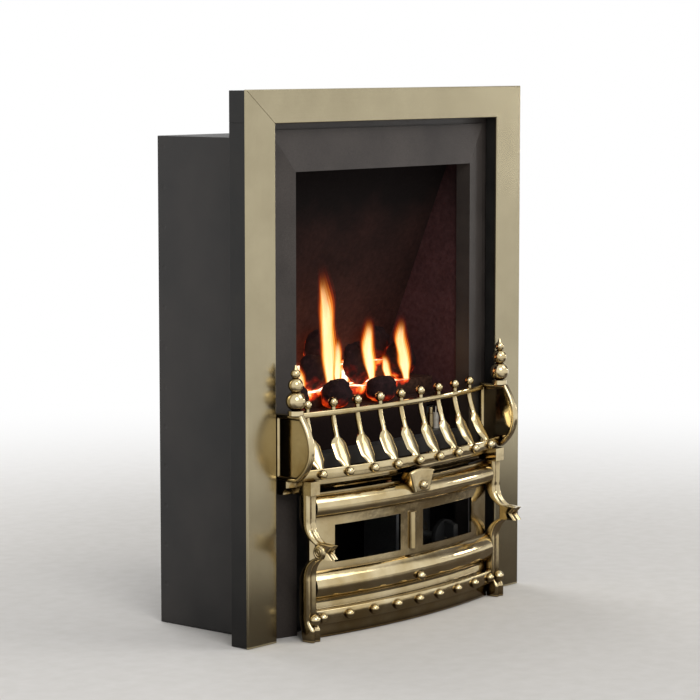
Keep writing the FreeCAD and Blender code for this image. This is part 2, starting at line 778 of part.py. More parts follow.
def inlet_connector():
    middle = valve_right + UNION_L / 2
    end = valve_right + UNION_L
    corners = []
    for i in range(6):
        angle = math.radians(60 * i)
        corners.append(across(inlet_y + UNION_R * math.cos(angle), inlet_z + UNION_R * math.sin(angle)))
    nut = along_x(corners, middle, end)
    body_r = UNION_R * math.cos(math.radians(30))
    body = rod(Vector(valve_right, inlet_y, inlet_z), RIGHT, body_r, UNION_L / 2)
    bore = rod(Vector(end - INLET_DEPTH, inlet_y, inlet_z), RIGHT, INLET_BORE_R, INLET_DEPTH)
    return joined([body, nut]).cut(bore)


injector_low = shelf_low - 2 * PIPE_BEND


def injector_pipe():
    return rod(Vector(injector_x, injector_y, valve_top), UP, PIPE_R, injector_low - valve_top)


def injector():
    body = rod(Vector(injector_x, injector_y, injector_low), UP, injector_r, PIPE_BEND)
    nozzle_low = injector_low + PIPE_BEND
    nozzle = rod(Vector(injector_x, injector_y, nozzle_low), UP, PIPE_R, SHELF_Z + SHELF_T - nozzle_low)
    return joined([body, nozzle])


def riser(x, y, radius):
    """Small tube from the top of the valve, bent forward and up again to the pilot."""
    level = (valve_top + shelf_low) / 2
    diagonal = PIPE_BEND * math.sqrt(0.5)
    start = Vector(x, y, valve_top)
    bend = Vector(x, y, level - PIPE_BEND)
    bend_mid = Vector(x, y - PIPE_BEND + diagonal, level - PIPE_BEND + diagonal)
    run = Vector(x, y - PIPE_BEND, level)
    turn = Vector(x, pilot_y + PIPE_BEND, level)
    turn_mid = Vector(x, pilot_y + PIPE_BEND - diagonal, level + PIPE_BEND - diagonal)
    climb = Vector(x, pilot_y, level + PIPE_BEND)
    end = Vector(x, pilot_y, pilot_foot_top)
    path = Part.Wire([Part.makeLine(start, bend), Part.Arc(bend, bend_mid, run).toShape(),
                      Part.makeLine(run, turn), Part.Arc(turn, turn_mid, climb).toShape(),
                      Part.makeLine(climb, end)])
    return path.makePipeShell([Part.Wire([Part.makeCircle(radius, start, UP)])], True, False)


pilot_foot_top = SHELF_Z + SHEET
riser_y = VALVE_Y + RISER_SET


def pilot_bracket():
    half = NOTCH_W / 2 - BED_GAP
    rear = BED_FRONT_Y + NOTCH_D - SLIP
    foot = box(pilot_x - half, pilot_x + half, BED_FRONT_Y, rear, SHELF_Z, pilot_foot_top)
    upright = box(pilot_x - half, pilot_x + half, rear - SHEET, rear, SHELF_Z, SHELF_Z + PILOT_H)
    return joined([foot, upright]).cut(pilot_holes(SHELF_Z - SHEET, pilot_foot_top + SHEET))


pilot_body_r = 2 * PILOT_PIPE_R
pilot_body_h = PILOT_H * PILOT_STEM


def pilot_burner():
    stem = rod(Vector(pilot_x, pilot_y, pilot_foot_top), UP, pilot_body_r, pilot_body_h)
    hood_z = pilot_foot_top + pilot_body_h
    hood = rod(Vector(pilot_x, pilot_y, hood_z), UP, pilot_body_r - LEAD_R / 2, PILOT_H - pilot_body_h)
    mouth = box(pilot_x - pilot_body_r, pilot_x + pilot_body_r, pilot_y, pilot_y + pilot_body_r,
                hood_z + SHEET, hood_z + PILOT_H)
    return joined([stem, hood.cut(mouth)])


def pilot_pipe():
    return riser(pilot_x, riser_y + RISER_PITCH, PILOT_PIPE_R)


def thermocouple():
    collar_h = PILOT_H / 3
    collar = rod(Vector(thermocouple_x, pilot_y, pilot_foot_top), UP, pilot_body_r - SLIP, collar_h)
    tip_z = pilot_foot_top + collar_h
    tip = rod(Vector(thermocouple_x, pilot_y, tip_z), UP, PILOT_PIPE_R, PILOT_H - collar_h)
    return joined([riser(thermocouple_x, riser_y, LEAD_R), collar, tip])


def spark_electrode():
    body = rod(Vector(electrode_x, pilot_y, pilot_foot_top), UP, pilot_body_r - SLIP, pilot_body_h)
    pin_z = pilot_foot_top + pilot_body_h
    pin = rod(Vector(electrode_x, pilot_y, pin_z), UP, LEAD_R / 2, PILOT_H - pilot_body_h)
    return joined([body, pin])


def ignition_lead():
    return riser(electrode_x, riser_y + 2 * RISER_PITCH, LEAD_R)


# Fret: bowed brass castings on two end pillars
def bow_turned(shape, x):
    """Copy of a piece on the centre line, carried round the bow to distance x."""
    piece = shape.copy()
    piece.rotate(bow_centre, UP, math.degrees(math.asin(x / bow_r)))
    return piece


def bow_sweep(face, half):
    """A face on the centre line, swept round the bow past a half width on both sides."""
    angle = math.degrees(math.asin((half + CHEEK_T) / (bow_r - 2 * BAR_SET)))
    face.rotate(bow_centre, UP, -angle)
    return face.revolve(bow_centre, UP, 2 * angle)


def slice_x(x0, x1):
    return box(x0, x1, bead_y - TRIM_W, bead_y + TRIM_W, 0, TRIM_H)


def bowed(points, half):
    return bow_sweep(outline(points), half).common(slice_x(-half, half))


def bar_places():
    return [bar_pitch * (i - (BAR_COUNT - 1) / 2) for i in range(BAR_COUNT)]


def fret_top_rail():
    y0 = rail_y - RAIL_D / 2
    y1 = rail_y + RAIL_D / 2
    points = [across(y0, rail_z), across(y1, rail_z), across(y1, rail_top), across(y0, rail_top)]
    return bowed(points, cheek_in)


def fret_bead_rail():
    y1 = bead_rail_front + BEAD_RAIL_D
    points = [across(bead_rail_front, bead_rail_z), across(y1, bead_rail_z)]
    points += [across(y1, bead_rail_top), across(bead_rail_front, bead_rail_top)]
    return bowed(points, cheek_in)


def bar_side():
    """Side view of a bar: a band that leans forward and flares towards its foot."""
    top = across(rail_y - RAIL_D / 2, rail_z)
    foot = across(bead_rail_front + SLIP, bead_rail_top)
    mid = (top + foot) / 2 + across(BAR_FLARE, 0)
    thick = across(BAR_T, 0)
    points = [top, (mid, foot), foot + thick, (mid + thick, top + thick)]
    return along_x(points, -BAR_PADDLE_W, BAR_PADDLE_W)


def bar_front():
    """Front view of a bar: a narrow stem that widens to a rounded paddle."""
    stem = BAR_STEM_W / 2
    paddle = BAR_PADDLE_W / 2
    toe = BAR_FOOT_W / 2
    neck_z = bead_rail_top + BAR_H * BAR_NECK
    wide_z = bead_rail_top + BAR_H * BAR_WIDE
    round_z = bead_rail_top + BAR_H * BAR_HEEL
    heel = facing((paddle * 3 + toe) / 4, (bead_rail_top + round_z) / 2)
    throat = facing((stem * 3 + paddle) / 4, (neck_z + wide_z) / 2)
    side = [facing(stem, rail_z), facing(stem, neck_z), (throat, facing(paddle, wide_z))]
    side += [facing(paddle, round_z), (heel, facing(toe, bead_rail_top))]
    face = outline(side + [facing(0, bead_rail_top), facing(0, rail_z)])
    face.translate(Vector(0, bead_y - BAR_SET, 0))
    half = face.extrude(Vector(0, 3 * BAR_SET, 0))
    return joined([half, mirrored(half)])


def fret_bars():
    bar = bar_side().common(bar_front())
    return Part.makeCompound([bow_turned(bar, x) for x in bar_places()])


def fret_finials():
    neck = rod(Vector(0, rail_y, rail_top), UP, FINIAL_R / 2, FINIAL_R)
    finial = joined([neck, ball(0, rail_y, rail_top + FINIAL_R * FINIAL_RISE, FINIAL_R)])
    return Part.makeCompound([bow_turned(finial, x) for x in bar_places()])


def bead_row(z):
    """Beads along the bow, each cut to the face of the rail that carries it."""
    rail = rod(bow_centre + Vector(0, 0, z - BEAD_R), UP, bow_r + BEAD_SET, 2 * BEAD_R)
    bead = ball(0, bead_rail_front - BEAD_R / 4, z, BEAD_R).cut(rail)
    return Part.makeCompound([bow_turned(bead, x) for x in bar_places()])


def fret_shelf():
    rear = frame_in_y - SEAT
    slab = box(-cheek_x, cheek_x, bead_y, rear, fret_shelf_z, bead_rail_z)
    disc = rod(bow_centre + Vector(0, 0, fret_shelf_z), UP, bow_r - FRET_SHELF_SET, FRET_SHELF_T)
    ring = Part.makeCircle(COVE_R, across(bead_y + FRET_SHELF_SET - COVE_R / 2, fret_shelf_z), RIGHT)
    cove = bow_sweep(Part.Face(Part.Wire([ring])), cheek_x)
    pad = box(pillar_in, pillar_out, pillar_face - PAD_PROUD, rear, fret_shelf_z, bead_rail_z)
    return joined([slab.common(disc).cut(cove), pad, mirrored(pad)])


def frame_face_y(x):
    """Depth of the inner frame's sloped face beside the opening."""
    return frame_in_y + (frame_out_y - frame_in_y) * (x - open_half) / FRAME_SIDE


def fret_cheek():
    rear_y = frame_face_y(cheek_in) - CHEEK_GAP
    top_y = trim_front - CHEEK_TOP_Y
    bulge = across(trim_front - CHEEK_BULGE, (cheek_top + bead_rail_z - CHEEK_T) / 2)
    points = [across(rear_y, bead_rail_z), across(rear_y, cheek_top), across(top_y, cheek_top)]
    points += [(bulge, across(trim_front - CHEEK_FOOT, bead_rail_z))]
    return along_x(points, cheek_in, cheek_x)


def fret_post():
    x = (cheek_in + cheek_x) / 2
    y = trim_front - POST_Y
    big = POST_BALLS[0]
    pieces = [rod(Vector(x, y, cheek_top), UP, big * POST_BASE, POST_BASE_H)]
    z = cheek_top + POST_BASE_H
    for radius in POST_BALLS:
        pieces.append(rod(Vector(x, y, z), UP, POST_NECK_R * radius / big, 2 * radius))
        pieces.append(ball(x, y, z + radius * POST_SINK, radius))
        z += radius * POST_STACK
    small = POST_BALLS[-1]
    pieces.append(Part.makeCone(small / 2, small / 10, POST_TIP, Vector(x, y, z)))
    return joined(pieces)


def fret_pillar():
    """Scrolled leg that steps forward to a two-pointed knee, with a ball on its toe."""
    tip = pillar_face - KNEE_REACH
    notch = across(tip + KNEE_NOTCH, (KNEE_TOP + KNEE_LOW) / 2)
    knee_back = pillar_back - KNEE_BACK
    above = KNEE_TOP + KNEE_SWEEP
    below = KNEE_LOW - KNEE_SWEEP
    brow = across(pillar_face - KNEE_REACH / 5, KNEE_TOP + KNEE_SWEEP / 4)
    chin = across(pillar_face - KNEE_REACH / 5, KNEE_LOW - KNEE_SWEEP / 4)
    upper_bend = across(pillar_back - KNEE_BACK / 4, KNEE_TOP + KNEE_SWEEP / 2)
    lower_bend = across(pillar_back - KNEE_BACK / 4, KNEE_LOW - KNEE_SWEEP / 2)
    points = [across(pillar_face, fret_shelf_z), across(pillar_face, above), (brow, across(tip, KNEE_TOP))]
    points += [notch, across(tip, KNEE_LOW), (chin, across(pillar_face, below)), across(pillar_face, TOE_Z)]
    points += [across(pillar_face - TOE_REACH, TOE_Z / 2), across(pillar_face - TOE_REACH, 0)]
    points += [across(pillar_back - HEEL_IN, 0), across(pillar_back, TOE_Z), across(pillar_back, below)]
    points += [(lower_bend, across(knee_back, KNEE_LOW)), across(knee_back, KNEE_TOP)]
    points += [(upper_bend, across(pillar_back, above)), across(pillar_back, fret_shelf_z)]
    eye = Vector(pillar_in, (tip + knee_back) / 2 + KNEE_NOTCH / 2, notch.z)
    volute = rod(eye, RIGHT, VOLUTE_R, PILLAR_W + VOLUTE_PROUD)
    toe = ball((pillar_in + pillar_out) / 2, pillar_face - TOE_REACH / 2, TOE_Z, FOOT_BALL_R)
    return joined([along_x(points, pillar_in, pillar_out), volute, toe])


# Ashpan cover: pressed rolls, stiles and a mullion round two air windows
cover_face_y = bead_y + COVER_SET
cover_back_y = cover_face_y + COVER_T
roll_front = cover_face_y - ROLL_BULGE
top_roll_levels = (window_top, top_roll_low, top_roll_high, cover_top)
low_roll_levels = (base_strip_top, low_roll_low, low_roll_high, window_low)


def roll_face(low, roll_low, roll_high, high):
    """Front line of a roll, from its lower edge up to its top edge."""
    crest = across(roll_front, (roll_low + roll_high) / 2)
    return [across(cover_face_y, low), across(cover_face_y, roll_low),
            (crest, across(cover_face_y, roll_high)), across(cover_face_y, high)]


def cover_roll(levels):
    low, roll_low, roll_high, high = levels
    hollow = across(roll_front + COVER_T, (roll_low + roll_high) / 2)
    rear = [across(cover_back_y, high), across(cover_back_y, roll_high)]
    rear += [(hollow, across(cover_back_y, roll_low)), across(cover_back_y, low)]
    return bowed(roll_face(*levels) + rear, cover_half)


def filled_roll(levels):
    """The roll with its hollow filled, to trim what is fixed to its face."""
    rear = [across(cover_back_y, levels[3]), across(cover_back_y, levels[0])]
    return bowed(roll_face(*levels) + rear, cover_half)


def cover_strip(x0, x1):
    points = [across(cover_face_y, window_low), across(cover_face_y, window_top)]
    points += [across(cover_back_y, window_top), across(cover_back_y, window_low)]
    return bowed(points, cover_half).common(slice_x(x0, x1))


def cover_mullion():
    rib = rod(Vector(0, cover_face_y, window_low), UP, MULLION_RIB_R, WINDOW_H)
    rib = rib.common(box(-MULLION_HALF, MULLION_HALF, roll_front, cover_back_y, window_low, window_top))
    return joined([cover_strip(-MULLION_HALF, MULLION_HALF), rib])


def cover_base_rail():
    front = bead_rail_front
    plinth = bead_y + PLINTH_SET
    points = [across(front, PLINTH_H), across(front, base_rail_top), across(cover_face_y, base_rail_top)]
    points += [across(cover_face_y, base_strip_top), across(cover_back_y, base_strip_top)]
    points += [across(cover_back_y, 0), across(plinth, 0), across(plinth, PLINTH_H)]
    return bowed(points, cover_half)


def cover_pull():
    front = roll_front - PULL_PROUD
    crown_z = bead_rail_z - 2 * COVER_GAP
    top_z = crown_z - PULL_CROWN
    low_z = top_z - PULL_H
    points = [facing(-PULL_LOW_W / 2, low_z), facing(PULL_LOW_W / 2, low_z), facing(PULL_TOP_W / 2, top_z)]
    points += [(facing(0, crown_z), facing(-PULL_TOP_W / 2, top_z))]
    key = along_y(points, front, cover_face_y)
    rim = [edge for edge in key.Edges if all(abs(v.Y - front) < 1e-6 for v in edge.Vertexes)]
    knob = ball(0, front, low_z + BOSS_R * BOSS_RISE, BOSS_R)
    return joined([key.makeFillet(PULL_EASE, rim), knob]).cut(filled_roll(top_roll_levels))


def cover_boss():
    z = (low_roll_low + low_roll_high) / 2 - BOSS_DROP
    return ball(0, roll_front - BOSS_R / 4, z, BOSS_R).cut(filled_roll(low_roll_levels))


# Every node of the assembly
parts = {
    "trim_top": trim_rail(),
    "trim_left": mirrored(trim_stile()),
    "trim_right": trim_stile(),
    "spacer_top": spacer_head(),
    "spacer_left": mirrored(spacer_side()),
    "spacer_right": spacer_side(),
    "trim_magnets": trim_magnets(),
    "inner_frame": inner_frame(),
    "frame_screws": frame_screws(),
    "case_left": mirrored(case_side()),
    "case_right": case_side_with_inlet(),
    "case_top": case_top(),
    "case_back": case_back(),
    "case_base": case_base(),
    "wall_seal": wall_seal(),
    "flue_spigot": flue_spigot(),
    "pipe_grommet": pipe_grommet(),
    "burner_shelf": burner_shelf(),
    "shelf_ledges": shelf_ledges(),
    "panel_left": mirrored(side_panel()),
    "panel_right": side_panel(),
    "panel_back": back_panel(),
    "panel_stays": panel_stays(),
    "panel_clips": panel_clips(),
    "burner_box": burner_box(),
    "fuel_bed": fuel_bed(),
    "coals_front": coals_front(),
    "coals_middle": Part.makeCompound(coal_row(1)),
    "coals_rear": Part.makeCompound(coal_row(2)),
    "gas_valve": gas_valve(),
    "valve_bonnet": valve_bonnet(),
    "valve_bracket": valve_bracket(),
    "spindle_driver": spindle_driver(),
    "control_spindle": control_spindle(),
    "control_knob": control_knob(),
    "inlet_connector": inlet_connector(),
    "injector_pipe": injector_pipe(),
    "injector": injector(),
    "pilot_bracket": pilot_bracket(),
    "pilot_burner": pilot_burner(),
    "pilot_pipe": pilot_pipe(),
    "thermocouple": thermocouple(),
    "spark_electrode": spark_electrode(),
    "ignition_lead": ignition_lead(),
    "fret_bars": fret_bars(),
    "fret_top_rail": fret_top_rail(),
    "fret_finials": fret_finials(),
    "fret_bead_rail": fret_bead_rail(),
    "fret_beads": bead_row(bead_rail_z + BEAD_RAIL_H / 2),
    "fret_shelf": fret_shelf(),
    "fret_cheeks": both_sides([fret_cheek()]),
    "fret_posts": both_sides([fret_post()]),
    "fret_pillars": both_sides([fret_pillar()]),
    "cover_top_roll": cover_roll(top_roll_levels),
    "cover_bottom_roll": cover_roll(low_roll_levels),
    "cover_mullion": cover_mullion(),
    "cover_stiles": both_sides([cover_strip(cover_half - STILE_W, cover_half)]),
    "cover_base_rail": cover_base_rail(),
    "cover_beads": bead_row(PLINTH_H + BASE_RAIL_H / 2),
    "cover_pulls": Part.makeCompound([cover_pull(), cover_boss()]),
}

os.makedirs("parts", exist_ok=True)
for name, shape in parts.items():
    shape.exportStep("parts/" + name + ".step")
    print(name, len(shape.Solids), shape.isValid(), round(shape.Volume))
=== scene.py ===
import bpy
import math
from mathutils import Matrix, Vector, noise


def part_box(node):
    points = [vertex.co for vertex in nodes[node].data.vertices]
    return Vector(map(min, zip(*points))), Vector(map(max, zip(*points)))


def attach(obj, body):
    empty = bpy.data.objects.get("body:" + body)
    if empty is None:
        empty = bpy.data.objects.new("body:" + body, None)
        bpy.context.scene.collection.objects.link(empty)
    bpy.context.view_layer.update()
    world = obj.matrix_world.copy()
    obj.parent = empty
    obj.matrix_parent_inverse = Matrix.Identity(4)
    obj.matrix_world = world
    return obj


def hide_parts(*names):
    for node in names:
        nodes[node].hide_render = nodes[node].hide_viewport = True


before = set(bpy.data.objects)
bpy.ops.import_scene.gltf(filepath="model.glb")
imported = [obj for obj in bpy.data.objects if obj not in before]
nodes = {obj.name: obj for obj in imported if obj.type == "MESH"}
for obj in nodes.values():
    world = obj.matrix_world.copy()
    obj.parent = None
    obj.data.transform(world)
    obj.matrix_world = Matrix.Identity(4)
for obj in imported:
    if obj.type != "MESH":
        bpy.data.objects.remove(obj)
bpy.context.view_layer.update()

# Case: sides, top and base of sheet steel, folded and spot welded into a box round the chamber, with the
# burner shelf on two ledges inside. Once the fire is built in, none of it shows.
MM = 0.001  # the scene is in metres, and the sizes of pieces and patterns are in millimetres


def linear(code):
    """Colour of an sRGB hex code, as the shader sockets take it."""
    parts = [int(code[i:i + 2], 16) / 255 for i in (1, 3, 5)]
    return [c / 12.92 if c <= 0.04045 else ((c + 0.055) / 1.055) ** 2.4 for c in parts] + [1.0]


def surface(name, **sockets):
    """New principled material and its shader; socket names have _ for a space."""
    mat = bpy.data.materials.new(name)
    mat.use_nodes = True
    shader = mat.node_tree.nodes["Principled BSDF"]
    for key, value in sockets.items():
        shader.inputs[key.replace("_", " ")].default_value = value
    return mat, shader


def add(mat, kind, values=None, links=None, into=None, stops=None, **settings):
    """New node with its settings, socket values, links and colour stops.

    Its first output is returned, and goes into a socket where one is given.
    """
    node = mat.node_tree.nodes.new("ShaderNode" + kind)
    for key, value in settings.items():
        setattr(node, key, value)
    for key, value in (values or {}).items():
        node.inputs[key].default_value = value
    for key, source in (links or {}).items():
        mat.node_tree.links.new(source, node.inputs[key])
    for i, (place, code) in enumerate(stops or []):
        ramp = node.color_ramp.elements
        stop = ramp[i] if i < len(ramp) else ramp.new(place)
        stop.position = place
        stop.color = linear(code)
    if into:
        mat.node_tree.links.new(node.outputs[0], into)
    return node.outputs[0]


def dress(mat, *names):
    """Give solids of the frame a material."""
    for name in names:
        for place in nodes[name].material_slots:
            place.material = mat


SHARP = 40  # degrees between two faces, past which their edge stays an edge
SAME_POINT = 0.01  # points of a solid that lie closer than this are one point


def soften(width, *names):
    """Round the sharp edges of folded sheets or castings by a small width, in millimetres."""
    for name in names:
        weld = nodes[name].modifiers.new("weld", "WELD")
        weld.merge_threshold = SAME_POINT * MM
        bevel = nodes[name].modifiers.new("round", "BEVEL")
        bevel.width = width * MM
        bevel.segments = 2
        bevel.limit_method = "ANGLE"
        bevel.angle_limit = math.radians(SHARP)
        bevel.harden_normals = True


# Sprayed heat-proof paint: a dead grey-black with a fine orange peel and paler clouds of dust.
# On the two sides it also shows the pits of the spot welds along the folded edges.
PAINT_CLOUD, PAINT_PEEL = 80, 1.2
WELD_PITCH, WELD_R, WELD_INSET = 45, 3.2, 9
low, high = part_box("case_left")
weld_rows = (low[1] + WELD_INSET * MM, high[1] - WELD_INSET * MM)
heatproof = {}
for sheet, names in (("plain", ("case_top", "case_base", "burner_shelf", "shelf_ledges")),
                     ("welded", ("case_left", "case_right"))):
    paint, shader = surface("heatproof_paint_" + sheet, Specular_IOR_Level=0.35)
    heatproof[sheet] = paint
    spot = add(paint, "TexCoord").node.outputs["Object"]
    cloud = add(paint, "TexNoise", {"Scale": 1 / (PAINT_CLOUD * MM), "Detail": 5}, {"Vector": spot})
    add(paint, "ValToRGB", links={"Fac": cloud}, into=shader.inputs["Base Color"],
        stops=[(0.30, "#2a2928"), (0.72, "#3b3836")])
    add(paint, "MapRange", {"To Min": 0.50, "To Max": 0.68}, {"Value": cloud}, shader.inputs["Roughness"])
    peel = add(paint, "TexNoise", {"Scale": 1 / (PAINT_PEEL * MM), "Detail": 2}, {"Vector": spot})
    grit = add(paint, "Bump", {"Strength": 0.35, "Distance": 0.2 * MM}, {"Height": peel},
               shader.inputs["Normal"])
    if sheet == "welded":
        axes = add(paint, "SeparateXYZ", links={0: spot}).node.outputs
        along = add(paint, "Math", {1: WELD_PITCH * MM / 2}, {0: axes["Z"]}, operation="PINGPONG")
        gaps = []
        for row in weld_rows:
            gap = add(paint, "Math", {1: row}, {0: axes["Y"]}, operation="SUBTRACT")
            gaps.append(add(paint, "Math", links={0: gap}, operation="ABSOLUTE"))
        gap = add(paint, "Math", links={0: gaps[0], 1: gaps[1]}, operation="MINIMUM")
        reach = add(paint, "CombineXYZ", links={0: along, 1: gap})
        away = add(paint, "VectorMath", links={0: reach}, operation="LENGTH").node.outputs["Value"]
        pit = add(paint, "MapRange", {"From Min": WELD_R * MM / 3, "From Max": WELD_R * MM},
                  {"Value": away})
        add(paint, "Bump", {"Strength": 0.8, "Distance": 0.6 * MM}, {"Height": pit, "Normal": grit},
            shader.inputs["Normal"])
    dress(paint, *names)
soften(0.4, "case_left", "case_right", "case_base")

# Case back: one sheet, painted like the case, with a channel pressed all round and a cross in its middle.
# It is spot welded to the folded edges of the case, and each weld leaves a small pit.
CHANNEL_INSET, CHANNEL_HALF, CHANNEL_DEEP = 34, 7, 1.1
CROSS_END = 0.86  # how far the cross reaches towards the channel round it
PIT_DEEP = 0.6
COLUMNS, ROWS = 132, 184
PIT_EDGE, PIT_STEP, PIT_START = 3, 14, 8  # cells of the grid: to the edge, from pit to pit, to the lowest
low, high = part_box("case_back")


def channel(x, z):
    """Depth of the pressed channels at a place on the back, in millimetres."""
    half_x = high[0] / MM - CHANNEL_INSET
    mid_z = (low[2] + high[2]) / 2 / MM
    half_z = (high[2] - low[2]) / 2 / MM - CHANNEL_INSET
    round_gap = abs(max(abs(x) - half_x, abs(z - mid_z) - half_z))
    slope = half_z / half_x
    reach = max(abs(x) / half_x, abs(z - mid_z) / half_z)
    cross_gap = abs(abs(z - mid_z) - slope * abs(x)) / math.hypot(1, slope)
    gap = min(round_gap, cross_gap if reach < CROSS_END else CHANNEL_HALF)
    near = max(0.0, 1 - gap / CHANNEL_HALF)
    return CHANNEL_DEEP * near * near * (3 - 2 * near)


def build(name, points, faces, mat):
    """New mesh with one material."""
    mesh = bpy.data.meshes.new(name)
    mesh.from_pydata(points, [], faces)
    mesh.materials.append(mat)
    made = bpy.data.objects.new(name, mesh)
    bpy.context.scene.collection.objects.link(made)
    return made


def piece(name, points, faces, mat, body, crease=SHARP):
    """New smooth mesh that rides on a body; edges sharper than crease degrees stay sharp."""
    made = build(name, points, faces, mat)
    made.data.polygons.foreach_set("use_smooth", [True] * len(faces))
    made.data.set_sharp_from_angle(angle=math.radians(crease))
    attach(made, body)
    return made


points = []
for face_y in (low[1], high[1]):
    for j in range(ROWS + 1):
        for i in range(COLUMNS + 1):
            x = low[0] + (high[0] - low[0]) * i / COLUMNS
            z = low[2] + (high[2] - low[2]) * j / ROWS
            y = face_y - channel(x / MM, z / MM) * MM
            on_side = i in (PIT_EDGE, COLUMNS - PIT_EDGE) and j % PIT_STEP == PIT_START
            on_end = j in (PIT_EDGE, ROWS - PIT_EDGE) and i % PIT_STEP == PIT_EDGE
            if on_side or on_end:
                y -= PIT_DEEP * MM
            points.append((x, y, z))
across = COLUMNS + 1
layer = across * (ROWS + 1)
faces = []
for j in range(ROWS):
    for i in range(COLUMNS):
        a = j * across + i
        faces.append((a, a + 1, a + 1 + across, a + across))
        faces.append((layer + a, layer + a + across, layer + a + 1 + across, layer + a + 1))
rim = list(range(across))
rim += [j * across + COLUMNS for j in range(1, ROWS + 1)]
rim += [ROWS * across + i for i in range(COLUMNS - 1, -1, -1)]
rim += [j * across for j in range(ROWS - 1, 0, -1)]
for a, b in zip(rim, rim[1:] + rim[:1]):
    faces.append((b, a, layer + a, layer + b))
back = piece("case_back_pressing", points, faces, heatproof["plain"], "fire")
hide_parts("case_back")

# Seal: flat tape of woven heat-proof glass yarn, cut in strips and glued behind the case flange.
# It is squeezed when the fire is screwed up tight.

# Woven glass tape: dull off-white, with darker gaps between its threads. The threads are drawn 1.6 mm
# apart, about twice as far as the real ones, so that the weave shows.
THREAD = 1.6
BAND = 0.314  # wavelength of a wave texture at scale 1, in metres
tape, shader = surface("woven_seal_tape", Roughness=0.9, Sheen_Weight=0.3)
spot = add(tape, "TexCoord").node.outputs["Object"]
threads = []
for way in ("X", "Z"):
    bands = {"Scale": BAND / (THREAD * MM), "Distortion": 1.2, "Detail Scale": 2.0}
    threads.append(add(tape, "TexWave", bands, {"Vector": spot}, bands_direction=way))
weave = add(tape, "Math", links={0: threads[0], 1: threads[1]}, operation="MULTIPLY")
add(tape, "ValToRGB", links={"Fac": weave}, into=shader.inputs["Base Color"],
    stops=[(0.0, "#9c9687"), (0.6, "#d6d0c0")])
add(tape, "Bump", {"Strength": 0.7, "Distance": 0.5 * MM}, {"Height": weave}, shader.inputs["Normal"])
dress(tape, "wall_seal")

# Flue spigot and burner box: stainless sheet, the spigot rolled to a tube on a flat ring that seats on
# the case top, the burner box folded, with slots in its lid for the gas.

# Heat-stained stainless steel: dull silver, tinted straw and brown by the heat, with upright lines that
# are drawn at 0.7 mm so that they show; the real ones are finer.
STEEL_LINE, STEEL_STAIN, STEEL_STRETCH = 0.7, 50, 0.06
stained, shader = surface("heat_stained_steel", Metallic=1.0)
spot = add(stained, "TexCoord").node.outputs["Object"]
drawn = add(stained, "Mapping", {"Scale": (1.0, 1.0, STEEL_STRETCH)}, {"Vector": spot})
grain = add(stained, "TexNoise", {"Scale": 1 / (STEEL_LINE * MM), "Detail": 3}, {"Vector": drawn})
stain = add(stained, "TexNoise", {"Scale": 1 / (STEEL_STAIN * MM), "Detail": 4}, {"Vector": spot})
add(stained, "ValToRGB", links={"Fac": stain}, into=shader.inputs["Base Color"],
    stops=[(0.30, "#8f8d89"), (0.55, "#a1937c"), (0.75, "#7c6a5c")])
add(stained, "MapRange", {"To Min": 0.26, "To Max": 0.46}, {"Value": grain}, shader.inputs["Roughness"])
add(stained, "Bump", {"Strength": 0.2, "Distance": 0.1 * MM}, {"Height": grain}, shader.inputs["Normal"])
dress(stained, "flue_spigot", "burner_box")

# Pipe grommet and ignition lead: the grommet is moulded rubber, pushed into the hole in the case side
# for the gas pipe, and the lead has a rubber sleeve over its wire.

# Black rubber: nearly black, with a faint grey bloom and a soft, dull shine.
RUBBER_BLOOM = 4
rubber, shader = surface("black_rubber", Roughness=0.6, Specular_IOR_Level=0.3)
spot = add(rubber, "TexCoord").node.outputs["Object"]
bloom = add(rubber, "TexNoise", {"Scale": 1 / (RUBBER_BLOOM * MM), "Detail": 4}, {"Vector": spot})
add(rubber, "ValToRGB", links={"Fac": bloom}, into=shader.inputs["Base Color"],
    stops=[(0.35, "#131313"), (0.75, "#262524")])
add(rubber, "Bump", {"Strength": 0.2, "Distance": 0.2 * MM}, {"Height": bloom}, shader.inputs["Normal"])
dress(rubber, "pipe_grommet", "ignition_lead")

# Chamber panels: two side boards and a back board that leans forward, vacuum formed from ceramic fibre
# and held by clips and stays inside the case.

# Ceramic fibre, painted earth brown: quite matt, with the coarse felt of the mould screen, and sooted
# black towards the roof. The heights are those between which the soot takes over. The side boards' soot
# starts higher than the back's, so their lower part is lighter, as painted firelight.
FELT, SOOT_CLOUD, SOOT_SWAY = 6, 70, 160
for board, names, soot_from, soot_to, dark, pale in (
        ("back", ("panel_back",), 300, 560, "#3a211d", "#553630"),
        # side boards: painted firelight, lighter low down than the back because their soot starts higher
        ("side", ("panel_left", "panel_right"), 440, 640, "#3c2324", "#523637")):
    fibre, shader = surface("sooted_ceramic_fibre_" + board, Roughness=0.95, Specular_IOR_Level=0.1)
    spot = add(fibre, "TexCoord").node.outputs["Object"]
    felt = add(fibre, "TexNoise", {"Scale": 1 / (FELT * MM), "Detail": 6, "Roughness": 0.65},
               {"Vector": spot})
    earth = add(fibre, "ValToRGB", links={"Fac": felt}, stops=[(0.30, dark), (0.70, pale)])
    cloud = add(fibre, "TexNoise", {"Scale": 1 / (SOOT_CLOUD * MM), "Detail": 3}, {"Vector": spot})
    height = add(fibre, "SeparateXYZ", links={0: spot}).node.outputs["Z"]
    uneven = add(fibre, "Math", {1: SOOT_SWAY * MM}, {0: cloud}, operation="MULTIPLY")
    raised = add(fibre, "Math", links={0: height, 1: uneven}, operation="ADD")
    soot = add(fibre, "MapRange", {"From Min": soot_from * MM, "From Max": soot_to * MM}, {"Value": raised})
    add(fibre, "MixRGB", {"Color2": linear("#120d0c")}, {"Fac": soot, "Color1": earth},
        shader.inputs["Base Color"])
    add(fibre, "Bump", {"Strength": 0.8, "Distance": 1.2 * MM}, {"Height": felt}, shader.inputs["Normal"])
    dress(fibre, *names)
soften(1.2, "panel_left", "panel_right", "panel_back")

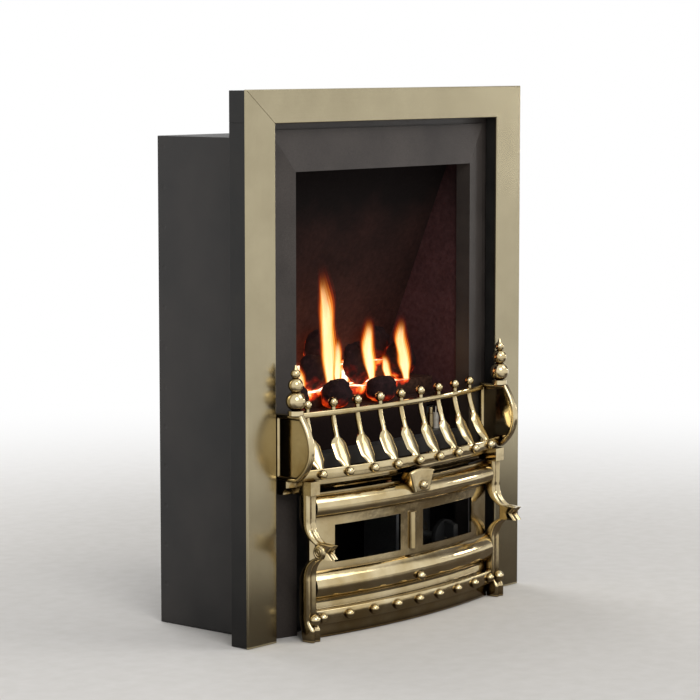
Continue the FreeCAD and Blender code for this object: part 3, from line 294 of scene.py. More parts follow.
# Small fixings: clips, stays, brackets and screws that hold the panels, the valve, the pilot and the inner
# frame, and the control's spindle, driver and bonnet. They are pressed or turned from mild steel.

# Zinc plate: grey and half dull from the heat, with a faint blue and straw bloom. Its grain is drawn at
# 0.8 mm so that it shows; the real one is finer.
ZINC_BLOOM, ZINC_GRAIN = 9, 0.8
zinc, shader = surface("zinc_plate", Metallic=1.0)
spot = add(zinc, "TexCoord").node.outputs["Object"]
bloom = add(zinc, "TexNoise", {"Scale": 1 / (ZINC_BLOOM * MM), "Detail": 3}, {"Vector": spot})
add(zinc, "ValToRGB", links={"Fac": bloom}, into=shader.inputs["Base Color"],
    stops=[(0.32, "#7c7f83"), (0.52, "#8f8d86"), (0.70, "#8a836f")])
grain = add(zinc, "TexNoise", {"Scale": 1 / (ZINC_GRAIN * MM), "Detail": 2}, {"Vector": spot})
add(zinc, "MapRange", {"To Min": 0.34, "To Max": 0.50}, {"Value": grain}, shader.inputs["Roughness"])
dress(zinc, "panel_clips", "panel_stays", "valve_bracket", "pilot_bracket", "frame_screws",
      "valve_bonnet", "spindle_driver", "control_spindle")
soften(0.3, "valve_bracket", "valve_bonnet")

# Fuel bed: one block of ceramic fibre, moulded in three steps with slots over the burner's own.
# It stands on the burner shelf, over the burner box, and carries the coals.

# Glowing ceramic fibre: brown felt, darkened at its foot as painted shade under the coals, with patches on
# the tops of the steps that go from dull red to nearly white and die away towards the two ends.
BED_FELT, BED_PATCH = 5, 22
LIT_FROM, LIT_FULL = 232, 256
GLOW_END, GLOW_FULL = 138, 88
bed, shader = surface("glowing_fuel_bed", Roughness=0.95, Specular_IOR_Level=0.1, Emission_Strength=2.1)
spot = add(bed, "TexCoord").node.outputs["Object"]
felt = add(bed, "TexNoise", {"Scale": 1 / (BED_FELT * MM), "Detail": 6, "Roughness": 0.65},
           {"Vector": spot})
earth = add(bed, "ValToRGB", links={"Fac": felt}, stops=[(0.30, "#2a1a15"), (0.72, "#5b4034")])
add(bed, "Bump", {"Strength": 0.8, "Distance": 1.5 * MM}, {"Height": felt}, shader.inputs["Normal"])
patch = add(bed, "TexNoise", {"Scale": 1 / (BED_PATCH * MM), "Detail": 4}, {"Vector": spot})
axes = add(bed, "SeparateXYZ", links={0: spot}).node.outputs
lit = add(bed, "MapRange", {"From Min": LIT_FROM * MM, "From Max": LIT_FULL * MM}, {"Value": axes["Z"]})
# painted shade: below LIT_FROM the felt turns near black, at the foot of the bed under the coals
add(bed, "MixRGB", {"Color1": linear("#1c1210")}, {"Fac": lit, "Color2": earth},
    shader.inputs["Base Color"])
facing = add(bed, "NewGeometry").node.outputs["Normal"]
up = add(bed, "SeparateXYZ", links={0: facing}).node.outputs["Z"]
tops = add(bed, "MapRange", {"From Min": 0.3, "From Max": 0.8, "To Min": 0.74}, {"Value": up})
sideways = add(bed, "Math", links={0: axes["X"]}, operation="ABSOLUTE")
middle = add(bed, "MapRange", {"From Min": GLOW_END * MM, "From Max": GLOW_FULL * MM, "To Min": 0.35},
             {"Value": sideways})
glow = patch
for part in (lit, tops, middle):
    glow = add(bed, "Math", links={0: glow, 1: part}, operation="MULTIPLY")
add(bed, "ValToRGB", links={"Fac": glow}, into=shader.inputs["Emission Color"],
    stops=[(0.30, "#000000"), (0.36, "#9a1d03"), (0.43, "#ff7a2c"), (0.50, "#ffe4c4")])
dress(bed, "fuel_bed")

# Coals: ten loose lumps of ceramic fibre, moulded and coloured like coal, laid by hand in three rows.
# Each is a chipped cobble with a flat foot that stands on its step of the fuel bed.


def islands(name):
    """Boxes of a node's separate solids, from left to right."""
    mesh = nodes[name].data
    spots = {}
    home = []
    for vertex in mesh.vertices:
        key = tuple(round(c, 6) for c in vertex.co)
        home.append(spots.setdefault(key, len(spots)))
    parent = list(range(len(spots)))

    def root(i):
        while parent[i] != i:
            parent[i] = parent[parent[i]]
            i = parent[i]
        return i

    for face in mesh.polygons:
        first = root(home[face.vertices[0]])
        for corner in face.vertices[1:]:
            parent[root(home[corner])] = first
    groups = {}
    for key, i in spots.items():
        groups.setdefault(root(i), []).append(key)
    boxes = []
    for group in groups.values():
        boxes.append([Vector([pick(p[axis] for p in group) for axis in range(3)]) for pick in (min, max)])
    return sorted(boxes, key=lambda pair: pair[0].x + pair[1].x)


def share(value, start, end):
    """Smooth step from 0 at start to 1 at end."""
    t = min(1.0, max(0.0, (value - start) / (end - start)))
    return t * t * (3 - 2 * t)


def skin(start, rings, count, flip=False):
    """Faces of a closed skin over rings of points, the first of which begins at start."""
    made = [tuple(range(start + count - 1, start - 1, -1))]
    for j in range(rings - 1):
        for i in range(count):
            a = start + j * count + i
            b = start + j * count + (i + 1) % count
            made.append((a, b, b + count, a + count))
    last = start + (rings - 1) * count
    made.append(tuple(range(last, last + count)))
    return [face[::-1] for face in made] if flip else made


def mark(made, label, values):
    """Give each point of a mesh a value that its material reads."""
    field = made.data.attributes.new(label, "FLOAT", "POINT")
    field.data.foreach_set("value", values)


# Coal-coloured fibre: matt maroon black with a crumbled crust, glowing in veins where "warmth" is high.
COAL_CRUST, COAL_VEIN = 7, 11
coal, shader = surface("coal_fibre", Roughness=0.92, Specular_IOR_Level=0.15, Emission_Strength=0.9)
spot = add(coal, "TexCoord").node.outputs["Object"]
crust = add(coal, "TexNoise", {"Scale": 1 / (COAL_CRUST * MM), "Detail": 7, "Roughness": 0.7},
            {"Vector": spot})
add(coal, "ValToRGB", links={"Fac": crust}, into=shader.inputs["Base Color"],
    stops=[(0.32, "#140b0c"), (0.60, "#2a1819"), (0.80, "#4e3632")])
add(coal, "Bump", {"Strength": 0.9, "Distance": 1.8 * MM}, {"Height": crust}, shader.inputs["Normal"])
heat = add(coal, "Attribute", attribute_name="warmth").node.outputs["Fac"]
veins = add(coal, "TexNoise", {"Scale": 1 / (COAL_VEIN * MM), "Detail": 5}, {"Vector": spot})
patchy = add(coal, "MapRange", {"From Min": 0.30, "From Max": 0.70, "To Min": -0.30, "To Max": 0.30},
             {"Value": veins})
hot = add(coal, "Math", links={0: heat, 1: patchy}, operation="ADD")
add(coal, "ValToRGB", links={"Fac": hot}, into=shader.inputs["Emission Color"],
    stops=[(0.30, "#000000"), (0.55, "#5a0d03"), (0.80, "#e23a0c"), (1.0, "#ff9a3c")])

LUMP_TURNS, LUMP_RINGS = 40, 24
LUMP_SIZE, LUMP_BUMP, LUMP_CHIP = 0.90, 0.16, 0.10  # shares of the half size of a lump's box
BUMP_WAVES, CHIP_WAVES = 1.3, 2.6  # how fine the bumps and the chips are
LUMP_SQUARE = 0.94  # power that squares up the egg
LUMP_TALL = 1.12  # stretch that flattens the foot and the crown against the box
for row, seed in (("coals_front", 3.1), ("coals_middle", 0.0), ("coals_rear", 6.2)):
    points, faces, warmth = [], [], []
    for k, (low, high) in enumerate(islands(row)):
        middle = (low + high) / 2
        half = (high - low) / 2
        shift = Vector((k * 7.3, seed, middle.y * 90))  # each lump has its own place in the noise
        start = len(points)
        for j in range(LUMP_RINGS + 1):
            tilt = math.pi * (j / LUMP_RINGS - 0.5)
            for i in range(LUMP_TURNS):
                turn = math.tau * i / LUMP_TURNS
                out = math.cos(tilt)
                way = Vector((out * math.cos(turn), out * math.sin(turn), math.sin(tilt)))
                bump = noise.fractal(way * BUMP_WAVES + shift, 1.0, 2.0, 5) * LUMP_BUMP
                chip = abs(noise.noise(way * CHIP_WAVES + shift)) * LUMP_CHIP
                grow = LUMP_SIZE + bump - chip
                squared = [math.copysign(abs(c) ** LUMP_SQUARE, c) for c in way]
                at = Vector([squared[a] * half[a] * grow for a in range(3)])
                x = min(max(at.x, -half.x), half.x)
                y = min(max(at.y, -half.y), half.y)
                z = min(max(at.z * LUMP_TALL, -half.z), half.z)
                points.append(middle + Vector((x, y, z)))
                # warm below and behind, towards the flames
                behind = 0.55 + 0.45 * share(y / half.y, -0.7, 0.5)
                under = behind * (1.0 - share(z / half.z, -1.0, 0.30))
                warmth.append(max(under, 0.85 * share(y / half.y, 0.10, 0.75)))
        faces += skin(start, LUMP_RINGS + 1, LUMP_TURNS)
    lumps = piece(row + "_lumps", points, faces, coal, "fire", crease=60)
    mark(lumps, "warmth", warmth)
    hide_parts(row)

# Flames: gas burning above the gaps between the coals, drawn back a little by the flue.
# Each is a nest of closed skins, broad to near its top, from an outer veil to a core.

# Burning gas: a thin red edge, then orange, then a dense and nearly white core, in upright strands.
STRAND, STRAND_STRETCH = 9, 0.2
flame, shader = surface("gas_flame", Base_Color=linear("#000000"), Roughness=1.0, Specular_IOR_Level=0.0,
                        Emission_Strength=1.9)
heat = add(flame, "Attribute", attribute_name="warmth").node.outputs["Fac"]
rise = add(flame, "Attribute", attribute_name="climb").node.outputs["Fac"]
tall = add(flame, "Math", {1: 0.30}, {0: rise}, operation="MULTIPLY")
hot = add(flame, "Math", links={0: heat, 1: tall}, operation="SUBTRACT")
add(flame, "ValToRGB", links={"Fac": hot}, into=shader.inputs["Emission Color"],
    stops=[(0.0, "#b8330a"), (0.22, "#f97f1e"), (0.45, "#ffc056"), (0.70, "#fff1c4")])
fade = add(flame, "MapRange", {"From Min": 1.0, "From Max": 0.50}, {"Value": rise},
           interpolation_type="SMOOTHSTEP")
spot = add(flame, "TexCoord").node.outputs["Object"]
drawn = add(flame, "Mapping", {"Scale": (1.0, 1.0, STRAND_STRETCH)}, {"Vector": spot})
strand = add(flame, "TexNoise", {"Scale": 1 / (STRAND * MM), "Detail": 3}, {"Vector": drawn})
wisp = add(flame, "MapRange", {"From Min": 0.35, "From Max": 0.60, "To Min": 0.45}, {"Value": strand})
thin = add(flame, "Math", links={0: fade, 1: wisp}, operation="MULTIPLY")
dense = add(flame, "MapRange", {"To Min": 0.04, "To Max": 0.75}, {"Value": heat})
add(flame, "Math", links={0: thin, 1: dense}, into=shader.inputs["Alpha"], operation="MULTIPLY")

FLAMES = (
    # foot x, y, z, tip x, tip z, half width, in millimetres
    (-34, 36, 262, -42, 414, 11),
    (-20, 37, 262, -16, 326, 6),
    (40, 36, 262, 34, 346, 9),
    (103, 36, 260, 96, 342, 9),
    (72, 37, 258, 70, 296, 6),
    (-84, 36, 260, -88, 300, 7),
)
SKINS, FLAME_TURNS, FLAME_RINGS = 5, 20, 26
VEIL, CORE = 1.35, 0.50  # radius of the outer skin and of the core, in half widths
CORE_SHORT = 0.20  # how much lower the core ends, as a share of the flame's height
FLAME_FLAT, FLAME_LICK = 0.55, 0.22  # depth as a share of the width, and how uneven the skins are
FLAME_SWAY, FLAME_DRAW = 9, 6  # how far the tip strays sideways and is drawn back
points, faces, warmth, climb = [], [], [], []
for k, (x0, y0, z0, x1, z1, wide) in enumerate(FLAMES):
    for layer in range(SKINS):
        core = layer / (SKINS - 1)
        tip = z1 - (z1 - z0) * CORE_SHORT * core
        radius = wide * (VEIL + (CORE - VEIL) * core)
        start = len(points)
        for j in range(FLAME_RINGS + 1):
            t = j / FLAME_RINGS
            # half as wide at its foot, and rounded off at its tip
            swell = (0.5 + 0.5 * share(t, 0.0, 0.3)) * (1 - t ** 6) ** 0.7
            sway = noise.noise(Vector((k * 3.7, t * 2.2, 0.4))) * FLAME_SWAY * t
            for i in range(FLAME_TURNS):
                turn = math.tau * i / FLAME_TURNS
                uneven = noise.noise(Vector((math.cos(turn), math.sin(turn) + k * 5, t * 4)))
                r = max(0.02, radius * swell * (1 + FLAME_LICK * uneven))
                x = x0 + (x1 - x0) * t + sway + r * math.cos(turn)
                y = y0 + FLAME_DRAW * t + r * FLAME_FLAT * math.sin(turn)
                points.append(Vector((x, y, z0 + (tip - z0) * t)) * MM)
                warmth.append(core)
                climb.append(t)
        faces += skin(start, FLAME_RINGS + 1, FLAME_TURNS)
flames = piece("flames", points, faces, flame, "fire")
mark(flames, "warmth", warmth)
mark(flames, "climb", climb)

# Gas valve: a block of die-cast aluminium on a zinc-plated bracket, which stands on the base of the case.
# It is behind the right-hand window of the ashpan cover, which is drawn off to reach it.

# Die-cast aluminium: satin grey with a slightly pitted skin.
CAST_PIT = 1.5
casting, shader = surface("die_cast_aluminium", Metallic=1.0)
spot = add(casting, "TexCoord").node.outputs["Object"]
pits = add(casting, "TexNoise", {"Scale": 1 / (CAST_PIT * MM), "Detail": 4}, {"Vector": spot})
add(casting, "ValToRGB", links={"Fac": pits}, into=shader.inputs["Base Color"],
    stops=[(0.30, "#7f8082"), (0.70, "#a7a8a9")])
add(casting, "MapRange", {"To Min": 0.38, "To Max": 0.58}, {"Value": pits}, shader.inputs["Roughness"])
add(casting, "Bump", {"Strength": 0.25, "Distance": 0.2 * MM}, {"Height": pits}, shader.inputs["Normal"])
dress(casting, "gas_valve")
soften(1.5, "gas_valve")

# Control knob: a moulding of black thermoset plastic, a round skirt with a grip bar across its front.
# It is pushed on the end of the control's spindle.

# Thermoset plastic from a spark-eroded mould: matt black with a grain that is drawn at 0.6 mm so that it
# shows; the real one is finer.
KNOB_GRAIN = 0.6
plastic, shader = surface("black_knob_moulding", Roughness=0.45)
spot = add(plastic, "TexCoord").node.outputs["Object"]
grain = add(plastic, "TexNoise", {"Scale": 1 / (KNOB_GRAIN * MM), "Detail": 3}, {"Vector": spot})
add(plastic, "ValToRGB", links={"Fac": grain}, into=shader.inputs["Base Color"],
    stops=[(0.3, "#101010"), (0.7, "#1c1c1c")])
add(plastic, "Bump", {"Strength": 0.3, "Distance": 0.1 * MM}, {"Height": grain}, shader.inputs["Normal"])
dress(plastic, "control_knob")
soften(0.8, "control_knob")

# Gas pipes and thermocouple: copper tube from the top of the valve, one pipe straight up to the injector,
# the other bent forward and up to the pilot. The thermocouple's lead is bent like the second.

# Drawn copper: bright where it is clean, browned in clouds where it nears the flame.
COPPER_BLOOM = 12
copper, shader = surface("drawn_copper", Metallic=1.0)
spot = add(copper, "TexCoord").node.outputs["Object"]
bloom = add(copper, "TexNoise", {"Scale": 1 / (COPPER_BLOOM * MM), "Detail": 4}, {"Vector": spot})
add(copper, "ValToRGB", links={"Fac": bloom}, into=shader.inputs["Base Color"],
    stops=[(0.30, "#8a4f33"), (0.65, "#c98a63")])
add(copper, "MapRange", {"To Min": 0.22, "To Max": 0.42}, {"Value": bloom}, shader.inputs["Roughness"])
dress(copper, "injector_pipe", "pilot_pipe", "thermocouple")

# Spark electrode: a glazed ceramic body with a thin pin, which stands beside the pilot on its bracket.
# The ignition lead comes up to it from below, through the bracket.

# Glazed ceramic: glossy white with faint cream clouds.
GLAZE_CLOUD = 6
glaze, shader = surface("glazed_ceramic", Roughness=0.18)
spot = add(glaze, "TexCoord").node.outputs["Object"]
cloud = add(glaze, "TexNoise", {"Scale": 1 / (GLAZE_CLOUD * MM), "Detail": 3}, {"Vector": spot})
add(glaze, "ValToRGB", links={"Fac": cloud}, into=shader.inputs["Base Color"],
    stops=[(0.3, "#cfc8b8"), (0.7, "#ebe6da")])
dress(glaze, "spark_electrode")

# Inner frame: one pressing of sheet steel with jambs round the opening, a sloped face and a lip.
# It is screwed to the case flange through the lip.

# Satin anthracite paint: dark warm grey with a soft, slightly hazy shine and a fleck that is drawn at
# 0.9 mm so that it shows; the real one is finer.
FLECK, HAZE = 0.9, 60
satin, shader = surface("satin_anthracite_paint", Metallic=0.1, Specular_IOR_Level=0.3)
spot = add(satin, "TexCoord").node.outputs["Object"]
fleck = add(satin, "TexNoise", {"Scale": 1 / (FLECK * MM), "Detail": 3}, {"Vector": spot})
haze = add(satin, "TexNoise", {"Scale": 1 / (HAZE * MM), "Detail": 4}, {"Vector": spot})
both = add(satin, "Math", links={0: fleck, 1: haze}, operation="MULTIPLY")
add(satin, "ValToRGB", links={"Fac": both}, into=shader.inputs["Base Color"],
    stops=[(0.15, "#302b28"), (0.40, "#453f3b")])
add(satin, "MapRange", {"To Min": 0.36, "To Max": 0.50}, {"Value": haze}, shader.inputs["Roughness"])
add(satin, "Bump", {"Strength": 0.25, "Distance": 0.15 * MM}, {"Height": fleck}, shader.inputs["Normal"])
dress(satin, "inner_frame")
soften(0.8, "inner_frame")

# Spacer: three channels folded from sheet steel, between the trim and the case flange.
# From the side they show as the dark edge of the trim.

# Matt black paint: black with a grey film of dust and a fine orange peel.
DUST, BLACK_PEEL = 50, 1.0
black, shader = surface("matt_black_paint", Specular_IOR_Level=0.35)
spot = add(black, "TexCoord").node.outputs["Object"]
dust = add(black, "TexNoise", {"Scale": 1 / (DUST * MM), "Detail": 6, "Roughness": 0.6}, {"Vector": spot})
add(black, "ValToRGB", links={"Fac": dust}, into=shader.inputs["Base Color"],
    stops=[(0.35, "#121110"), (0.75, "#24221f")])
add(black, "MapRange", {"To Min": 0.42, "To Max": 0.62}, {"Value": dust}, shader.inputs["Roughness"])
peel = add(black, "TexNoise", {"Scale": 1 / (BLACK_PEEL * MM), "Detail": 2}, {"Vector": spot})
add(black, "Bump", {"Strength": 0.25, "Distance": 0.15 * MM}, {"Height": peel}, shader.inputs["Normal"])
dress(black, "spacer_left", "spacer_right", "spacer_top")
soften(0.4, "spacer_left", "spacer_right", "spacer_top")

# Trim magnets: six flat discs glued on the back of the spacer's face.
# They hold the trim, and let it come off for fitting.

# Nickel plate: bright, very slightly yellow grey.
NICKEL_GRAIN = 2
nickel, shader = surface("nickel_plate", Metallic=1.0)
spot = add(nickel, "TexCoord").node.outputs["Object"]
grain = add(nickel, "TexNoise", {"Scale": 1 / (NICKEL_GRAIN * MM), "Detail": 3}, {"Vector": spot})
add(nickel, "ValToRGB", links={"Fac": grain}, into=shader.inputs["Base Color"],
    stops=[(0.3, "#8e8c87"), (0.7, "#a9a7a2")])
add(nickel, "MapRange", {"To Min": 0.18, "To Max": 0.32}, {"Value": grain}, shader.inputs["Roughness"])
dress(nickel, "trim_magnets")

# Trim: three flat brass bars, mitred at the top corners and polished along their length.
# It is held by the magnets, so no fixing shows on its face.

# Lacquered brass: pale and satin, with faint clouds of tarnish and fine lines along each bar. The lines
# are drawn at 0.6 mm so that they show; the real ones are finer.
TRIM_LINE, TRIM_CLOUD, TRIM_STRETCH = 0.6, 70, 0.012
for direction, names, stretch in (
        ("upright", ("trim_left", "trim_right"), (1.0, 1.0, TRIM_STRETCH)),
        ("level", ("trim_top",), (TRIM_STRETCH, 1.0, 1.0))):
    bar, shader = surface("polished_trim_brass_" + direction, Metallic=1.0, Coat_Weight=0.25,
                          Coat_Roughness=0.12)
    spot = add(bar, "TexCoord").node.outputs["Object"]
    run = add(bar, "Mapping", {"Scale": stretch}, {"Vector": spot})
    lines = add(bar, "TexNoise", {"Scale": 1 / (TRIM_LINE * MM), "Detail": 4}, {"Vector": run})
    tarnish = add(bar, "TexNoise", {"Scale": 1 / (TRIM_CLOUD * MM), "Detail": 5, "Roughness": 0.6},
                  {"Vector": spot})
    tone = add(bar, "ValToRGB", links={"Fac": tarnish}, stops=[(0.30, "#a2977a"), (0.70, "#b0a587")])
    streak = add(bar, "MapRange", {"To Min": 0.0, "To Max": 0.22}, {"Value": lines})
    add(bar, "MixRGB", {"Color2": linear("#8d8266")}, {"Fac": streak, "Color1": tone},
        shader.inputs["Base Color"])
    add(bar, "MapRange", {"To Min": 0.14, "To Max": 0.30}, {"Value": lines}, shader.inputs["Roughness"])
    add(bar, "Bump", {"Strength": 0.06, "Distance": 0.1 * MM}, {"Height": lines}, shader.inputs["Normal"])
    dress(bar, *names)
    soften(0.5, *names)

# Fret: rails, shelf, beads, finials and posts of cast brass, machine polished.
# It stands loose in front of the fire on two scrolled pillars.

# Polished cast brass: bright crowns, hollows darkened to brown, partly as tarnish where the mop doesn't
# reach and partly as painted shade, and a skin that waves a little from the casting.
BRASS_CLOUD, BRASS_SMEAR, BRASS_WAVE, BRASS_HOLLOW = 35, 12, 18, 8
brass, shader = surface("polished_cast_brass", Metallic=1.0)
spot = add(brass, "TexCoord").node.outputs["Object"]
cloud = add(brass, "TexNoise", {"Scale": 1 / (BRASS_CLOUD * MM), "Detail": 4}, {"Vector": spot})
tone = add(brass, "ValToRGB", links={"Fac": cloud}, stops=[(0.30, "#b9a476"), (0.70, "#d8c8a2")])
# ambient occlusion darkens the hollows to brown: tarnish the mop misses, and painted shade
buried = add(brass, "AmbientOcclusion", {"Distance": BRASS_HOLLOW * MM}, samples=8).node.outputs["AO"]
polish_and_shade = add(brass, "MapRange", {"From Min": 0.45, "From Max": 0.95}, {"Value": buried})
add(brass, "MixRGB", {"Color1": linear("#4d3715")}, {"Fac": polish_and_shade, "Color2": tone},
    shader.inputs["Base Color"])
smear = add(brass, "TexNoise", {"Scale": 1 / (BRASS_SMEAR * MM), "Detail": 6, "Roughness": 0.65},
            {"Vector": spot})
add(brass, "MapRange", {"From Min": 0.3, "From Max": 0.7, "To Min": 0.06, "To Max": 0.18}, {"Value": smear},
    shader.inputs["Roughness"])
wave = add(brass, "TexNoise", {"Scale": 1 / (BRASS_WAVE * MM), "Detail": 2}, {"Vector": spot})
add(brass, "Bump", {"Strength": 0.35, "Distance": 0.8 * MM}, {"Height": wave}, shader.inputs["Normal"])
dress(brass, *[name for name in nodes if name.startswith("fret_")])
soften(1.0, "fret_top_rail", "fret_bead_rail", "fret_shelf")

# Fret bars: nine spoon-shaped balusters, each a narrow stem that leans out and swells to a domed paddle.
# They are cast with the rails, so each one meets the top rail and the bead rail without a gap.
BAR_TOP_Y, BAR_FOOT_Y, BAR_HOLLOW = -43.0, -66.5, 3.5
BAR_BACK, BAR_DOME, BAR_TAPER = 5.0, 3.4, 0.9  # the last is the back's width as a share of the front's
DOME_POWER = 2.4  # 2 is a round dome, and more is a flatter one
STEM, PADDLE, TOE = 3.4, 10.6, 6.2  # half widths
PADDLE_TOP, STEM_LOW, TOE_TOP = 0.42, 0.60, 0.17  # shares of the bar's height
BAR_STEPS, BAR_SIDES = 40, 12
low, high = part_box("fret_bars")
beads = [(a + b) / 2 for a, b in islands("fret_beads")]
middle_bead = beads[len(beads) // 2]
bow = beads[-1].y - middle_bead.y
bow_r = (beads[-1].x ** 2 + bow ** 2) / (2 * bow)
bow_y = middle_bead.y + bow_r
points, faces = [], []
for bead in beads:
    turned = Matrix.Rotation(math.asin(bead.x / bow_r), 3, "Z")
    start = len(points)
    for j in range(BAR_STEPS + 1):
        t = j / BAR_STEPS
        half = STEM + (PADDLE - STEM) * (1 - share(t, PADDLE_TOP, STEM_LOW))
        half -= (PADDLE - TOE) * (1 - share(t, 0.0, TOE_TOP))
        front = BAR_FOOT_Y + (BAR_TOP_Y - BAR_FOOT_Y) * t + 4 * BAR_HOLLOW * t * (1 - t)
        ring = []
        for i in range(BAR_SIDES + 1):
            u = 2 * i / BAR_SIDES - 1
            ring.append((u * half, front + BAR_DOME * abs(u) ** DOME_POWER))
        ring += [(half * BAR_TAPER, front + BAR_BACK), (-half * BAR_TAPER, front + BAR_BACK)]
        for x, y in ring:
            away = turned @ Vector((x * MM, y * MM - bow_y, 0))
            points.append((away.x, away.y + bow_y, low[2] + (high[2] - low[2]) * t))
    faces += skin(start, BAR_STEPS + 1, BAR_SIDES + 3)
bars = piece("fret_balusters", points, faces, brass, "fret")
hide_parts("fret_bars")

# Fret cheeks: the bowed end plates that close the fret, one at each end of the rails.
# They are cast in brass with a rolled rim round a sunk panel.
RIM_LOOPS = (
    # how far in from the edge, and how far below the crown of the rim, in millimetres
    (0.0, 2.2), (0.0, 1.2), (0.5, 0.5), (1.5, 0.0), (3.0, 0.0), (4.2, 0.6), (5.0, 1.8), (5.6, 2.6),
)
CHEEK_TOP_Y, CHEEK_BULGE_Y, CHEEK_FOOT_Y, CHEEK_T = -52.0, -67.0, -46.0, 8.0
REAR_STEPS, END_STEPS, FRONT_STEPS = 12, 10, 32
low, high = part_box("fret_cheeks")
rear_y, foot_z, top_z = high[1] / MM, low[2] / MM, high[2] / MM
top_front = Vector((CHEEK_TOP_Y, top_z))
foot_front = Vector((CHEEK_FOOT_Y, foot_z))
bulge = Vector((CHEEK_BULGE_Y - (CHEEK_TOP_Y + CHEEK_FOOT_Y) / 2, -CHEEK_T / 2))
edge = [Vector((rear_y, foot_z + (top_z - foot_z) * i / REAR_STEPS)) for i in range(REAR_STEPS)]
edge += [Vector((rear_y + (CHEEK_TOP_Y - rear_y) * i / END_STEPS, top_z)) for i in range(END_STEPS)]
for i in range(FRONT_STEPS + 1):
    t = i / FRONT_STEPS
    edge.append(top_front * (1 - t) + foot_front * t + bulge * 4 * t * (1 - t))
for i in range(1, END_STEPS):
    edge.append(Vector((CHEEK_FOOT_Y + (rear_y - CHEEK_FOOT_Y) * i / END_STEPS, foot_z)))
count = len(edge)
middle = sum(edge, Vector((0, 0))) / count
inward = []
for i, here in enumerate(edge):
    before = (here - edge[i - 1]).normalized()
    after = (edge[(i + 1) % count] - here).normalized()
    side = Vector((-(before.y + after.y), before.x + after.x)).normalized()
    if side.dot(middle - here) < 0:
        side = -side
    # at a corner the loops go in along the mitre, by twice their inset at most
    lean = max(0.5, abs(side.dot(Vector((-before.y, before.x)))))
    inward.append(side / lean)
points, faces = [], []
for sign in (-1, 1):
    for outer in (False, True):
        start = len(points)
        for inset, sunk in RIM_LOOPS:
            face_x = high[0] / MM - sunk if outer else high[0] / MM - CHEEK_T + sunk
            for here, side in zip(edge, inward):
                at = here + side * inset
                points.append(Vector((sign * face_x, at.x, at.y)) * MM)
        rim = skin(start, len(RIM_LOOPS), count, (sign > 0) != outer)
        faces += rim[1:]
    inner = start - count * len(RIM_LOOPS)
    for a in range(count):
        b = (a + 1) % count
        quad = (inner + a, inner + b, start + b, start + a)
        faces.append(quad if sign > 0 else quad[::-1])
cheeks = piece("fret_cheek_castings", points, faces, brass, "fret")
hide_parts("fret_cheeks")

# Pillars: scrolled brass legs that step forward to a two-pointed knee and end in a toe with a ball.
# Each is one casting with rounded arrises, a sunk flute down its front and a scroll on its side.
LEG_IN, LEG_OUT, LEG_FRONT, LEG_BACK = 158.9, 173.9, -52.0, -38.0
KNEE_HIGH, KNEE_LOW, KNEE_REAR, KNEE_NOTCH, SWEEP = 110.0, 95.0, -60.0, 7.0, 26.0
TOE_Z, TOE_TIP, HEEL, TOE_BALL = 24.0, -58.0, -42.0, 6.5
low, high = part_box("fret_pillars")
LEG_TOP, KNEE_TIP = high[2] / MM, low[1] / MM
KNEE_MID = (KNEE_HIGH + KNEE_LOW) / 2
SWEEP_TOP, SWEEP_END = KNEE_HIGH + SWEEP, KNEE_LOW - SWEEP


def on_arc(a, m, b, z):
    """Depth at a height on the circle through three (depth, height) points."""
    d = 2 * (a[0] * (m[1] - b[1]) + m[0] * (b[1] - a[1]) + b[0] * (a[1] - m[1]))
    sq = [p[0] ** 2 + p[1] ** 2 for p in (a, m, b)]
    cy = (sq[0] * (m[1] - b[1]) + sq[1] * (b[1] - a[1]) + sq[2] * (a[1] - m[1])) / d
    cz = (sq[0] * (b[0] - m[0]) + sq[1] * (a[0] - b[0]) + sq[2] * (m[0] - a[0])) / d
    reach = math.sqrt(max(0.0, (a[0] - cy) ** 2 + (a[1] - cz) ** 2 - (z - cz) ** 2))
    return cy + math.copysign(reach, m[0] - cy)


def leg_front(z):
    """Depth of the leg's front at a height."""
    brow = LEG_FRONT - (LEG_FRONT - KNEE_TIP) / 5
    if z >= SWEEP_TOP or TOE_Z <= z <= SWEEP_END:
        return LEG_FRONT
    if z > KNEE_HIGH:
        return on_arc((LEG_FRONT, SWEEP_TOP), (brow, KNEE_HIGH + SWEEP / 4), (KNEE_TIP, KNEE_HIGH), z)
    if z >= KNEE_LOW:
        return KNEE_TIP + KNEE_NOTCH * (1 - abs(z - KNEE_MID) / (KNEE_HIGH - KNEE_MID))
    if z > SWEEP_END:
        return on_arc((LEG_FRONT, SWEEP_END), (brow, KNEE_LOW - SWEEP / 4), (KNEE_TIP, KNEE_LOW), z)
    return TOE_TIP + (LEG_FRONT - TOE_TIP) * share(z, TOE_Z / 2, TOE_Z)


def leg_back(z):
    """Depth of the leg's back at a height."""
    bend = LEG_BACK - (LEG_BACK - KNEE_REAR) / 4
    if KNEE_HIGH < z < SWEEP_TOP:
        return on_arc((LEG_BACK, SWEEP_TOP), (bend, KNEE_HIGH + SWEEP / 2), (KNEE_REAR, KNEE_HIGH), z)
    if KNEE_LOW < z <= KNEE_HIGH:
        return KNEE_REAR
    if SWEEP_END < z <= KNEE_LOW:
        return on_arc((LEG_BACK, SWEEP_END), (bend, KNEE_LOW - SWEEP / 2), (KNEE_REAR, KNEE_LOW), z)
    return HEEL + (LEG_BACK - HEEL) * min(1.0, z / TOE_Z)


